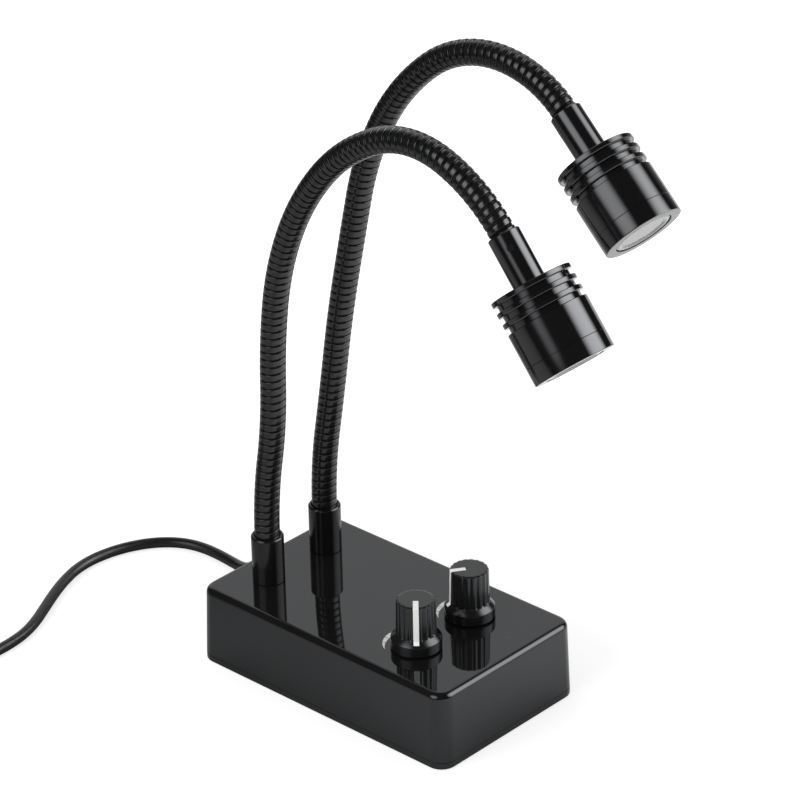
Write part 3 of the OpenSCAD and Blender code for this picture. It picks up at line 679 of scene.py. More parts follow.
class ILLUMINATOR_OT_finishes(bpy.types.Operator):
    """Build the shared effects and every material of the illuminator"""

    bl_idname = "illuminator.finishes"
    bl_label = "Finishes"

    def execute(self, context):
        settings = context.scene.illuminator
        effect(moulded_skin, Grain=2500.0)
        effect(handled_gloss, Roughness=0.1, Smears=0.05, Hairlines=0.03)
        effect(settled_dust, Color=(0.01, 0.01, 0.01, 1), Amount=0.3)
        effect(tool_lines, Lines=9000.0)
        self.plastics(settings.finish)
        self.metals(settings)
        woven("strap_weave", settings.finish.cord)
        optic("clear_lens")
        circuit("driver_mask", settings.finish.board)
        self.dress_inner_nodes()
        return {"FINISHED"}

    @staticmethod
    def plastics(colours):
        """Plastics, rubber, print and phosphor."""
        polymer = {"IOR": 1.5, "Specular_Tint": (0.92, 0.96, 1, 1)}
        # Name, colour, gloss, grain, strength of the bump and dust
        for name, rgb, gloss, grain, strength, dust in (
            ("polished_black", colours.base, (0.03, 0.02, 0.012), 1500.0, 0.012, 0.5),
            ("satin_black", colours.knob, (0.2, 0.06, 0.04), 3800.0, 0.12, 0.35),
            ("moulded_black", colours.cord, (0.3, 0.08, 0.05), 3000.0, 0.2, 0.3),
            ("component_black", colours.cord, (0.42, 0.05, 0.03), 3000.0, 0.2, 0.0),
            ("white_mask", colours.white, (0.3, 0.05, 0.02), 2600.0, 0.1, 0.0),
        ):
            relief = (strength, 0.02 * MM)
            moulded(name, rgb, gloss, grain, (0.75, 1.25), relief, dust, **polymer)
        gloss, relief = (0.34, 0.12, 0.06), (0.25, 0.04 * MM)
        for name in ("cord_jacket", "black_rubber"):
            moulded(name, colours.cord, gloss, 3600.0, (0.7, 1.35), relief, 0.35, IOR=1.48)
        white, gloss, relief = colours.white, (0.32, 0.1, 0.05), (0.15, 0.02 * MM)
        for name, rgb in (("white_inlay", white), ("dial_print", [c * 0.78 for c in white])):
            moulded(name, rgb, gloss, 4200.0, (0.94, 1.04), relief, mask="Height", IOR=1.46)
        gloss, relief = (0.15, 0.04, 0.0), (0.2, 0.02 * MM)
        phosphor = ("led_phosphor", colours.phosphor, gloss, 6000.0, (0.8, 1.2), relief)
        moulded(*phosphor, mask="Height", IOR=1.5)

    @staticmethod
    def metals(settings):
        """Wound, turned and plated metal."""
        black, steel = settings.finish.anodised, settings.finish.steel
        wound_steel("wound_black", settings.finish.neck)
        for side in SIDES:
            head, ferrule = stem_mouth(settings, side), on_neck(settings, side, 0)
            turned_metal(f"anodised_head_{side}", black, head, 0.085)
            turned_metal(f"blackened_screw_{side}", black, head, 0.25)
            turned_metal(f"anodised_ferrule_{side}", black, ferrule, 0.16, ior=1.45)
        for name, roughness, lines in (
            ("plated_steel", 0.22, 5000.0),
            ("plated_shell", 0.16, 3000.0),
        ):
            turned_metal(name, steel, Matrix.Identity(4), roughness, lines, metallic=1.0)

    @staticmethod
    def dress_inner_nodes():
        """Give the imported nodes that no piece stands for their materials."""
        materials = {"driver_board": "driver_mask", "board_components": "component_black"}
        for kind in ("cover_screws", "board_screws"):
            materials[kind] = "plated_steel"
        for thread in ("pot", "ferrule"):
            materials[f"{thread}_nuts"] = materials[f"{thread}_washers"] = "plated_steel"
        for side in SIDES:
            materials[f"potentiometer_{side}"] = "plated_steel"
            materials[f"pot_shaft_{side}"] = "plated_steel"
            materials[f"lens_seal_{side}"] = "black_rubber"
            materials[f"led_board_{side}"] = "white_mask"
            materials[f"led_{side}"] = "led_phosphor"
            materials[f"stem_screw_{side}"] = f"blackened_screw_{side}"
        for node, material in materials.items():
            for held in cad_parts[node].material_slots:
                held.material = bpy.data.materials[material]


# Pieces


class ILLUMINATOR_OT_base(bpy.types.Operator):
    """Model the moulded base and its bottom cover"""

    bl_idname = "illuminator.base"
    bl_label = "Base"

    corner_rounds = 14
    foot_edge = 0.4 * MM

    def execute(self, context):
        base = context.scene.illuminator.base
        x, y = base.width / 2, base.length / 2

        housing = block("housing", (-x, -y, base.cover), (x, y, base.height))
        inset = (base.height - base.cover) * math.tan(base.draft)
        select(housing, "FACE", lambda face: face.normal.z > 0.9)
        bpy.ops.transform.resize(value=(1 - inset / x, 1 - inset / y, 1))
        round_edges(housing, upright, base.corner, self.corner_rounds)
        round_edges(housing, level(base.height), base.top_edge, 10)
        round_edges(housing, level(base.cover), base.seam, 2)
        finish(housing, smooth=40)
        dress(housing, "polished_black", "root", "base_plastic", "base_shell")

        plate = block("floor_plate", (-x, -y, 0), (x, y, base.cover))
        round_edges(plate, upright, base.corner, self.corner_rounds)
        round_edges(plate, level(base.cover), base.seam, 2)
        round_edges(plate, level(0), self.foot_edge, 2)
        head, hole = base.screw_head / 2, 1.65 * MM
        profile = [(head, -1 * MM), (head, 0.15 * MM), (hole, 1.55 * MM), (hole, 4 * MM)]
        x, y = x - base.screw_inset, y - base.screw_inset
        for corner in ((-x, -y), (-x, y), (x, -y), (x, y)):
            sink = turned("countersink", profile, 32)
            move(sink, Matrix.Translation((*corner, 0)))
            cut(plate, sink)
        finish(plate, smooth=40)
        dress(plate, "polished_black", "root", "base_plastic", "bottom_cover")
        return {"FINISHED"}


class ILLUMINATOR_OT_dials(bpy.types.Operator):
    """Model the crescents that are printed on the panel round the knobs"""

    bl_idname = "illuminator.dials"
    bl_label = "Dials"

    film = 0.03 * MM
    ticks = range(118, 20, -16)

    def execute(self, context):
        settings = context.scene.illuminator
        dial = settings.dial
        ring = {"vertices": 360, "radius": dial.inner, "location": (0, 0, 0)}
        for side in SIDES:
            crescent = start(f"dial_{side}", bpy.ops.mesh.primitive_circle_add, **ring)
            select(crescent, "VERT", lambda vert: self.share(vert.co, dial) is None)
            bpy.ops.mesh.delete(type="VERT")
            bpy.ops.mesh.select_all(action="SELECT")
            extrude((0, 0, 0))
            mesh = bmesh.from_edit_mesh(crescent.data)
            for vert in mesh.verts:
                if vert.select:
                    wide = max(math.sin(math.pi * self.share(vert.co, dial)), 0) ** 0.9
                    vert.co *= 1 + dial.widest * wide / dial.inner
            for tick in self.ticks:
                self.gap(mesh, math.radians(tick), dial)
            bmesh.update_edit_mesh(crescent.data)
            bpy.ops.mesh.select_all(action="SELECT")
            bpy.ops.mesh.remove_doubles(threshold=1e-6)
            extrude((0, 0, self.film))
            close_up()
            finish(crescent, place=knob_place(settings, side))
            dress(crescent, "dial_print", "root", "pointer_white")
        return {"FINISHED"}

    @staticmethod
    def share(point, dial):
        """How far round the crescent a point is, from 0 to 1, or None outside it."""
        turn = (dial.start - math.atan2(point.y, point.x)) % (2 * math.pi)
        return turn / dial.sweep if turn <= dial.sweep + 1e-6 else None

    @staticmethod
    def gap(mesh, direction, dial):
        """Open a radial gap in the crescent."""
        half = dial.tick / 2 / (dial.inner + dial.widest / 2)
        outward = Vector((math.cos(direction), math.sin(direction), 0))
        for turn in (half, -half):
            side = Matrix.Rotation(turn + math.pi / 2, 3, "Z") @ outward
            whole = mesh.verts[:] + mesh.edges[:] + mesh.faces[:]
            bmesh.ops.bisect_plane(mesh, geom=whole, plane_co=(0, 0, 0), plane_no=side)
        near = math.cos(half)
        inside = [
            face
            for face in mesh.faces
            if face.calc_center_median().normalized().dot(outward) > near
        ]
        bmesh.ops.delete(mesh, geom=inside, context="FACES")


class ILLUMINATOR_OT_knobs(bpy.types.Operator):
    """Model the two fluted dimmer knobs and their white pointers"""

    bl_idname = "illuminator.knobs"
    bl_label = "Knobs"

    # Steps round the grip for each flute, and its depth at each step from its middle
    flute_steps = 10
    flute_section = (1.0, 0.86, 0.5, 0.12)

    def execute(self, context):
        settings = context.scene.illuminator
        knob = settings.knob
        pattern, bar = self.body(knob), self.pointer(knob)
        for side in SIDES:
            turn = knob.off - getattr(knob, f"{side}_setting") + math.pi / 2
            place = knob_place(settings, side, knob.lift) @ Matrix.Rotation(turn, 4, "Z")
            for piece, name, material, slot, node in (
                (pattern, "dimmer", "satin_black", "knob_plastic", "knob"),
                (bar, "mark", "white_inlay", "pointer_white", "pointer"),
            ):
                made = again(piece, f"{name}_{side}", place)
                dress(made, material, f"{side}_knob", slot, f"{node}_{side}")
        discard(pattern)
        discard(bar)
        return {"FINISHED"}

    def body(self, knob):
        """Skirt, shoulder and fluted grip, with a recess below for the nut."""
        skirt, grip, top = knob.skirt / 2, knob.grip / 2, knob.grip_top / 2
        foot = knob.skirt_height + knob.shoulder
        flute_foot = foot + 0.35 * MM
        edge, lip = 0.45 * MM, 0.25 * MM
        recess = skirt - 0.9 * MM
        profile = [
            (recess, 2.8 * MM), (recess, 0), (skirt - lip, 0), (skirt, lip),
            (skirt, knob.skirt_height - lip), (skirt - lip / 2, knob.skirt_height),
            (grip + lip / 2, foot - lip / 2), (grip, foot), (grip - 0.01 * MM, flute_foot),
            (top, knob.height - edge), (top - edge / 3, knob.height - edge / 3),
            (top - edge, knob.height), (top - 1.1 * MM, knob.height),
        ]
        piece = turned("knob_pattern", profile, knob.flutes * self.flute_steps)
        rim = top - 0.8 * MM
        for z, depth in (
            (flute_foot, 1.0), (knob.height - edge, 0.55), (knob.height - edge / 3, 0.5),
            (knob.height, 0.42),
        ):
            for step, share in enumerate(self.flute_section):
                select(piece, "VERT", lambda v: self.in_flute(v.co, z, step, knob.flutes, rim))
                scale = 1 - knob.flute * depth * share / grip
                bpy.ops.transform.resize(value=(scale, scale, 1), center_override=(0, 0, z))
        return finish(piece, smooth=32)

    def in_flute(self, point, z, step, flutes, rim):
        """Whether a point of the grip, at a height, is that many steps from a flute's middle."""
        if abs(point.z - z) > 1e-6 or point.xy.length < rim:
            return False
        around = (math.atan2(point.y, point.x) / (2 * math.pi / flutes) - 0.5) % 1
        return round(min(around, 1 - around) * self.flute_steps) == step

    @staticmethod
    def pointer(knob):
        """White bar: over the top from its middle, down the grip and onto the shoulder."""
        half, thick, proud = knob.pointer / 2, 0.45 * MM, 0.03 * MM
        grip, top = knob.grip / 2, knob.grip_top / 2
        foot, head = knob.skirt_height + knob.shoulder, knob.height + proud
        front = -grip - proud
        bar = block("pointer_pattern", (-half, front, foot), (half, front + thick, head))
        select(bar, "VERT", lambda v: v.co.z > knob.height and v.co.y < -grip)
        bpy.ops.transform.translate(value=(0, grip - top, 0))
        bpy.ops.mesh.select_all(action="SELECT")
        bpy.ops.mesh.bisect(plane_co=(0, 0, head - thick), plane_no=(0, 0, 1))
        high = knob.height - thick
        select(bar, "FACE", lambda f: f.normal.y > 0.9 and f.calc_center_median().z > high)
        extrude((0, -front - thick - knob.pointer_start, 0))
        low = foot + 0.01 * MM
        select(bar, "FACE", lambda f: f.normal.z < -0.9 and f.calc_center_median().z < low)
        extrude((0, -0.95 * MM, -0.78 * MM))
        close_up()
        return finish(bar, 0.1 * MM)


class ILLUMINATOR_OT_ferrules(bpy.types.Operator):
    """Model the ferrules that hold the necks on the base"""

    bl_idname = "illuminator.ferrules"
    bl_label = "Ferrules"

    def execute(self, context):
        settings = context.scene.illuminator
        neck = settings.neck
        r, bore, height = neck.ferrule / 2, neck.seat / 2, neck.ferrule_height
        chamfer, spigot, spigot_end = 0.45 * MM, r - 0.3 * MM, -3 * MM
        seat_end = height - 6 * MM
        profile = [
            (bore, seat_end), (bore, spigot_end), (spigot, spigot_end), (spigot, 0),
            (r - 0.15 * MM, 0), (r, 0.2 * MM), (r, height - chamfer), (r - chamfer * 0.8, height),
            (bore + 0.12 * MM, height), (bore, height - 0.3 * MM), (bore, seat_end),
        ]
        pattern = finish(turned("ferrule_pattern", profile, caps=False), 0.12 * MM)
        for side in SIDES:
            socket = again(pattern, f"neck_socket_{side}", neck_foot(settings, side))
            material = f"anodised_ferrule_{side}"
            dress(socket, material, "root", "ferrule_black", f"ferrule_{side}")
        discard(pattern)
        return {"FINISHED"}


class ILLUMINATOR_OT_necks(bpy.types.Operator):
    """Wind the two goosenecks and bend them along their lines"""

    bl_idname = "illuminator.necks"
    bl_label = "Necks"

    steps = 36
    overlap = 5 * MM
    line_step = 0.5 * MM
    hardly_bent, fully_bent = math.radians(14), math.radians(36)
    # Part of a link on each side of a hinge; the places at this reach are worked out but not used
    blend_reach = 0.38

    def execute(self, context):
        settings = context.scene.illuminator
        neck = settings.neck
        link = neck.link
        for side in SIDES:
            bends = bends_of(neck, side)[0]
            length, last = link * len(bends), len(bends) - 1
            line = self.centre_line(settings, side, length)
            for joint in range(1, last + 1):
                low = -self.overlap if joint == 1 else link * (joint - 0.5)
                high = length + self.overlap if joint == last else link * (joint + 0.5)
                bend = (abs(bends[joint - 1]) + abs(bends[joint])) / 2
                bent = (bend - self.hardly_bent) / (self.fully_bent - self.hardly_bent)
                bent = min(max(bent, 0), 1)
                piece = self.wind(neck, f"hose_{side}_{joint}", low, high, bent)
                modify(piece, "CURVE", object=line, deform_axis="POS_Z")
                nodes = [f"neck_{side}_{joint}"] + [f"neck_{side}_{joint + 1}"] * (joint == last)
                dress(piece, "wound_black", None, "neck_black", *nodes)
                reach = self.blend_reach * link
                on_neck(settings, side, link * joint - reach).translation
                on_neck(settings, side, link * joint + reach).translation
                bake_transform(piece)
            bpy.data.objects.remove(line)
        return {"FINISHED"}

    def centre_line(self, settings, side, length):
        """The line of a neck as a curve, from its end in the ferrule to its end in the stem."""
        low, high = -self.overlap, length + self.overlap
        parts = round((high - low) / self.line_step)
        line, spline = draw(f"line_{side}", "POLY", parts + 1)
        for k, point in enumerate(spline.points):
            at = on_neck(settings, side, low + (high - low) * k / parts).translation
            point.co = (*at, 1)
        return line

    @staticmethod
    def winding(bent):
        """Section of one winding, as part of the pitch and part of the depth of the groove: a flat
        band, and the thin wire that shows between two bands where the hose is bent."""
        gap, crest = 0.17 + 0.13 * bent, 0.85 - 0.5 * bent
        end, middle = 1 - gap, 1 - gap / 2
        band = ((0, 0.6), (0.01, 0.3), (0.03, 0.1), (0.08, 0.02), (0.14, 0))
        wire = ((0.28, 1), (0.22, 0.5), (0.12, 0.15))
        wire = [(gap * up, crest + (0.95 - crest) * dip) for up, dip in wire]
        return [
            *band,
            *((end - up, dip) for up, dip in reversed(band)),
            *((middle - up, dip) for up, dip in wire),
            (middle, crest),
            *((middle + up, dip) for up, dip in reversed(wire)),
            (1, 0.6),
        ]

    def wind(self, neck, name, low, high, bent):
        """A straight stretch of wound hose between two distances along the neck."""
        pitch = neck.link / neck.turns
        turn = 2 * math.pi * (low / pitch % 1)
        outward = Vector((math.cos(turn), math.sin(turn), 0))
        foot, radius = low + self.overlap, neck.diameter / 2
        profile = [
            outward * (radius - neck.groove * dip) + Vector((0, 0, foot + pitch * up))
            for up, dip in self.winding(bent)
        ]
        piece = start(name, bpy.ops.mesh.primitive_plane_add, size=MM, location=profile[0])
        bpy.ops.mesh.select_all(action="SELECT")
        bpy.ops.mesh.merge(type="CENTER")
        for here, there in zip(profile, profile[1:]):
            bpy.ops.mesh.extrude_vertices_move(TRANSFORM_OT_translate={"value": there - here})
        leave_edit()
        turns = (high - low) / pitch
        steps = round(turns * self.steps)
        modify(
            piece,
            "SCREW",
            angle=2 * math.pi * turns,
            screw_offset=high - low,
            steps=steps,
            render_steps=steps,
            use_merge_vertices=True,
            merge_threshold=1e-6,
        )
        bpy.ops.object.mode_set(mode="EDIT")
        close_up()
        leave_edit()
        bpy.ops.object.shade_smooth_by_angle(angle=math.radians(50))
        return piece


class ILLUMINATOR_OT_heads(bpy.types.Operator):
    """Model the spot heads: stem, finned barrel, bezel and lens"""

    bl_idname = "illuminator.heads"
    bl_label = "Heads"

    seam, lens_recess = 0.1 * MM, 1 * MM
    segments = 128

    def execute(self, context):
        settings = context.scene.illuminator
        head = settings.head
        patterns = {
            "stem": (self.stem(head, settings.neck), "head_stem", "head_black"),
            "barrel": (self.barrel(head), "head_barrel", "head_black"),
            "bezel": (self.bezel(head), "head_bezel", "head_black"),
            "optic": (self.lens(head), "lens", "lens_glass"),
        }
        for side in SIDES:
            mouth = stem_mouth(settings, side)
            front = mouth @ Matrix.Translation((0, 0, head.stem_length))
            screwed = mouth @ Matrix.Rotation(getattr(head, f"{side}_screw"), 4, "Z")
            for name, (pattern, node, slot) in patterns.items():
                place = screwed if name == "stem" else front
                material = "clear_lens" if name == "optic" else f"anodised_head_{side}"
                piece = again(pattern, f"spot_{name}_{side}", place)
                dress(piece, material, f"{side}_head", slot, f"{node}_{side}")
        for pattern, _, _ in patterns.values():
            discard(pattern)
        return {"FINISHED"}

    def stem(self, head, neck):
        """Stem from its mouth to the barrel, with the hole for the clamp screw."""
        r, bore, edge, end = head.stem / 2, neck.seat / 2, 0.35 * MM, head.stem_length
        profile = [
            (bore, 9.5 * MM), (bore, 0.25 * MM), (bore + 0.12 * MM, 0), (r - edge, 0), (r, edge),
            (r, end - self.seam), (r - self.seam, end), (2.5 * MM, end),
        ]
        piece = turned("stem_pattern", profile)
        hole = head.screw / 2
        flare = [(hole, -0.5 * MM), (hole, r - 0.2 * MM), (hole + 0.5 * MM, r + 0.3 * MM)]
        drill = turned("drill", flare, 32)
        sideways = Matrix.Rotation(-math.pi / 2, 4, "Y")
        move(drill, Matrix.Translation((0, 0, head.screw_at)) @ sideways)
        cut(piece, drill)
        return finish(piece)

    def barrel(self, head):
        """Finned barrel, with a broken edge on every fin."""
        r, root, edge = head.diameter / 2, head.diameter / 2 - head.fin_depth, 0.18 * MM
        end, fillet = head.length - head.bezel, 0.1 * MM
        profile = [(4 * MM, 0), (r - edge, 0), (r, edge)]
        for k in range(head.fins):
            fin_end = k * (head.fin + head.fin_gap) + head.fin
            gap_end = fin_end + head.fin_gap
            profile += [
                (r, fin_end - edge), (r - edge, fin_end), (root + fillet, fin_end),
                (root, fin_end + fillet), (root, gap_end - fillet), (root + fillet, gap_end),
                (r - edge, gap_end), (r, gap_end + edge),
            ]
        profile += [(r, end - self.seam), (r - 0.12 * MM, end), (r - 1.2 * MM, end)]
        return finish(turned("barrel_pattern", profile, self.segments))

    def bezel(self, head):
        """Bezel ring round the lens."""
        r, window, lip = head.diameter / 2, head.window / 2, 0.12 * MM
        inner, back, front = r - 1.5 * MM, head.length - head.bezel, head.length
        profile = [
            (inner, back), (r - lip, back), (r, back + self.seam), (r, front - 0.3 * MM),
            (r - 0.1 * MM, front - 0.08 * MM), (r - 0.32 * MM, front), (window + lip, front),
            (window, front - lip), (window, front - self.lens_recess),
            (inner, front - self.lens_recess), (inner, back),
        ]
        return finish(turned("bezel_pattern", profile, self.segments, caps=False))

    def lens(self, head):
        """Lens with a rounded lip, a flat front and a rounded rear."""
        slack = 0.1 * MM
        front, seat = head.length - slack, head.length - self.lens_recess
        rim, flat, flange = head.window / 2 - slack, head.lens_flat / 2, 10.8 * MM
        crown, half, height = (rim + flat) / 2, (rim - flat) / 2, 0.5 * MM
        rear, rear_r, depth = seat - 1.4 * MM, 9.5 * MM, 5 * MM
        face = front - 0.85 * height

        def arc(r, reach, z, rise, degrees):
            """Points of an ellipse round a radius and a height."""
            for a in map(math.radians, degrees):
                yield r + reach * math.cos(a), z + rise * math.sin(a)

        profile = [
            *arc(0, rear_r, rear, -depth, range(84, -1, -7)),
            (flange, rear),
            (flange, seat),
            (rim, seat),
            *arc(crown, half, front - height, height, range(0, 166, 15)),
            (flat - 0.1 * MM, face),
            (flat * 0.6, face),
        ]
        return finish(turned("lens_pattern", profile), smooth=25)


class ILLUMINATOR_OT_cord(bpy.types.Operator):
    """Lay the supply cord with its coil, tie, plug and grommet"""

    bl_idname = "illuminator.cord"
    bl_label = "Cord"

    # From the rear wall to the coil, in millimetres
    route = (
        (12, 52, 8), (12, 62, 8), (12.1, 65, 7.5), (12.5, 68, 6.2), (13.1, 71, 4.5), (13.8, 74, 3),
        (14.5, 77, 2.1), (15.1, 80.5, 1.75), (15.5, 85, 1.75), (15.7, 89.5, 1.75), (15.5, 94, 1.75),
        (14.6, 98.6, 1.75), (12.9, 102.6, 1.75), (10.2, 106.3, 1.75), (6.6, 109.6, 1.75),
        (2.4, 112.2, 1.75), (-2.6, 114.3, 1.75), (-8, 115.6, 1.75), (-14, 116.1, 1.75),
        (-20.5, 115.4, 1.75), (-26.5, 113.6, 1.75), (-32.5, 111.1, 1.75), (-38.5, 108.1, 1.75),
        (-44.5, 104.9, 1.75), (-50.5, 101.8, 1.75), (-56.5, 99.4, 1.75), (-63, 98, 1.75),
        (-70, 97.6, 1.75), (-77, 97.6, 1.9), (-84, 97.6, 2.2), (-88, 97.6, 2.3), (-92, 97.6, 2.3),
    )
    tail = 14 * MM
    steps = 20

    def execute(self, context):
        settings = context.scene.illuminator
        cord = settings.cord
        points = self.points(cord)
        lead, spline = draw("supply_cord", "BEZIER", len(points))
        lead.data.bevel_depth = cord.diameter / 2
        lead.data.bevel_resolution = 5
        lead.data.resolution_u = 6
        for knot, at in zip(spline.bezier_points, points):
            knot.co = at
            knot.handle_left_type = knot.handle_right_type = "AUTO"
        dress(lead, "cord_jacket", "root", "cord_black", "power_cord", "cord_coil")

        grip = self.plug_grip(cord, points[-1])
        shell = self.plug_shell(cord, points[-1])
        tie = self.tie()
        self.grommet(cord, settings.base)
        return {"FINISHED"}

    def points(self, cord):
        """Centre line from the rear wall to the plug: the route, the coil and a short tail."""
        points = [Vector(p) * MM for p in self.route]
        foot, radius = points[-1], cord.coil_radius
        pitch = cord.diameter + cord.turn_gap
        x, y = foot.x - cord.diameter, foot.y + radius
        low, high = foot.z, foot.z + pitch
        end = cord.turns * 360
        for k in range(round(cord.turns * self.steps) + 1):
            f = 360 * k / self.steps
            r = radius - pitch * min(f, end - f) / 360
            z = low + (high - low) * self.eased((f - end / 2 + 90) / 180)
            a = math.radians(f)
            points.append(Vector((x - r * math.sin(a), y - r * math.cos(a), z)))
        plug_z = cord.plug_height / 2
        for t in (0.25, 0.5, 0.75, 1.0):
            z = high + (plug_z - high) * self.eased(t)
            points.append(Vector((x + self.tail * t, y + radius, z)))
        points.append(points[-1] + Vector((cord.diameter, 0, 0)))
        return points

    @staticmethod
    def eased(t):
        """A smooth step from 0 to 1."""
        t = min(max(t, 0), 1)
        return t * t * (3 - 2 * t)

    @staticmethod
    def plug_grip(cord, end):
        """Moulded grip of the plug, with a recess on both sides and a ringed strain relief."""
        along = Vector((cord.relief, 0, 0)) + end
        half = Vector((cord.plug_length, cord.plug_width, cord.plug_height)) / 2
        middle = along + Vector((half.x, 0, 0))
        low, high = middle - half, middle + half
        grip = block("plug_body", low, high)
        round_edges(grip, upright, 2.5 * MM, 6)
        round_edges(grip, lambda e: level(low.z)(e) or level(high.z)(e), 1.2 * MM, 5)
        select(grip, "FACE", lambda face: abs(face.normal.z) > 0.999)
        bpy.ops.mesh.inset(thickness=0.9 * MM, depth=-0.35 * MM, use_individual=True)
        finish(grip, smooth=35)
        rings = [(3.6 * MM, 1.5 * MM), (3.6 * MM, 0)]
        groove = 0.6 * MM
        for k in range(4):
            z, r = -k * 2 * MM, 3.5 * MM - k * 0.33 * MM
            rings += [
                (r, z - 0.1 * MM), (r - 0.1 * MM, z - 1.2 * MM), (r - groove, z - 1.3 * MM),
                (r - groove, z - 1.9 * MM),
            ]
        place = Matrix.Translation(along) @ Matrix.Rotation(math.pi / 2, 4, "Y")
        pick(grip, finish(turned("plug_relief", rings, 40), 0.08 * MM, place))
        bpy.ops.object.join()
        return dress(grip, "moulded_black", "root", "cord_black", "plug_grip")

    @staticmethod
    def plug_shell(cord, end):
        """Folded metal shell of the plug, with two latch windows."""
        length, width, height, wall = 12 * MM, 12 * MM, 4.5 * MM, 0.3 * MM
        back = end + Vector((cord.relief + cord.plug_length, 0, 0))
        side = Vector((0, width / 2, height / 2))
        shell = block("plug_shell_metal", back - side, back + side + Vector((length, 0, 0)))
        long = 5 * MM
        round_edges(shell, lambda e: abs(e.verts[0].co.x - e.verts[1].co.x) > long, 0.5 * MM, 4)
        select(shell, "FACE", lambda face: face.normal.x > 0.9)
        bpy.ops.mesh.inset(thickness=wall)
        extrude((-length * 0.9, 0, 0))
        reach = Vector((1.1, 1.1, 1)) * MM
        for across in (-3 * MM, 3 * MM):
            middle = back + Vector((6 * MM, across, height / 2))
            cut(shell, block("window", middle - reach, middle + reach))
        finish(shell, 0.06 * MM)
        return dress(shell, "plated_shell", "root", "plug_metal", "plug_shell")

    @staticmethod
    def tie():
        """Strap round the coil."""
        low, high = (Vector(corner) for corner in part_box("cord_tie"))
        thick, wide = 0.5 * MM, 1 * MM
        strap = block("coil_strap", low, high)
        select(strap, "FACE", lambda face: abs(face.normal.y) > 0.9)
        bpy.ops.mesh.delete(type="FACE")
        round_edges(strap, lambda e: abs(e.verts[0].co.y - e.verts[1].co.y) > wide, 1.3 * MM, 5)
        close_up()
        leave_edit()
        modify(strap, "SOLIDIFY", thickness=thick, offset=-1)
        finish(strap, 0.12 * MM)
        return dress(strap, "strap_weave", "root", "tie_black", "cord_tie")

    @staticmethod
    def grommet(cord, base):
        """Rubber grommet that tapers along the cord behind the rear wall."""
        wall, slack, flange = 2 * MM, 0.3 * MM, 1.2 * MM
        bore, neck, collar = cord.diameter / 2 + 0.05 * MM, 3 * MM, 4.2 * MM
        face, tip, ribs = wall + slack, wall + 12 * MM, 4
        foot = face + flange
        rib = (tip - foot) / ribs
        profile = [(bore, 0), (neck, 0), (neck, face), (collar, face), (collar, foot)]
        for k in range(ribs):
            z, r = foot + rib * k, neck - 0.75 * MM * k / ribs
            rib_end = z + rib * 0.62
            profile += [
                (r, z + 0.05 * MM), (r - 0.1 * MM, rib_end), (r - 0.5 * MM, rib_end + 0.05 * MM),
                (r - 0.52 * MM, z + rib),
            ]
        profile += [(bore, tip), (bore, 0)]
        y = base.length / 2 - wall - (cord.exit_z - base.cover) * math.tan(base.draft)
        rearwards = Matrix.Rotation(-math.pi / 2, 4, "X")
        place = Matrix.Translation((cord.exit_x, y, cord.exit_z)) @ rearwards
        boot = finish(turned("cord_boot", profile, 48, caps=False), 0.1 * MM, place)
        dress(boot, "black_rubber", "root", "seal_rubber", "cord_grommet")


# Stage


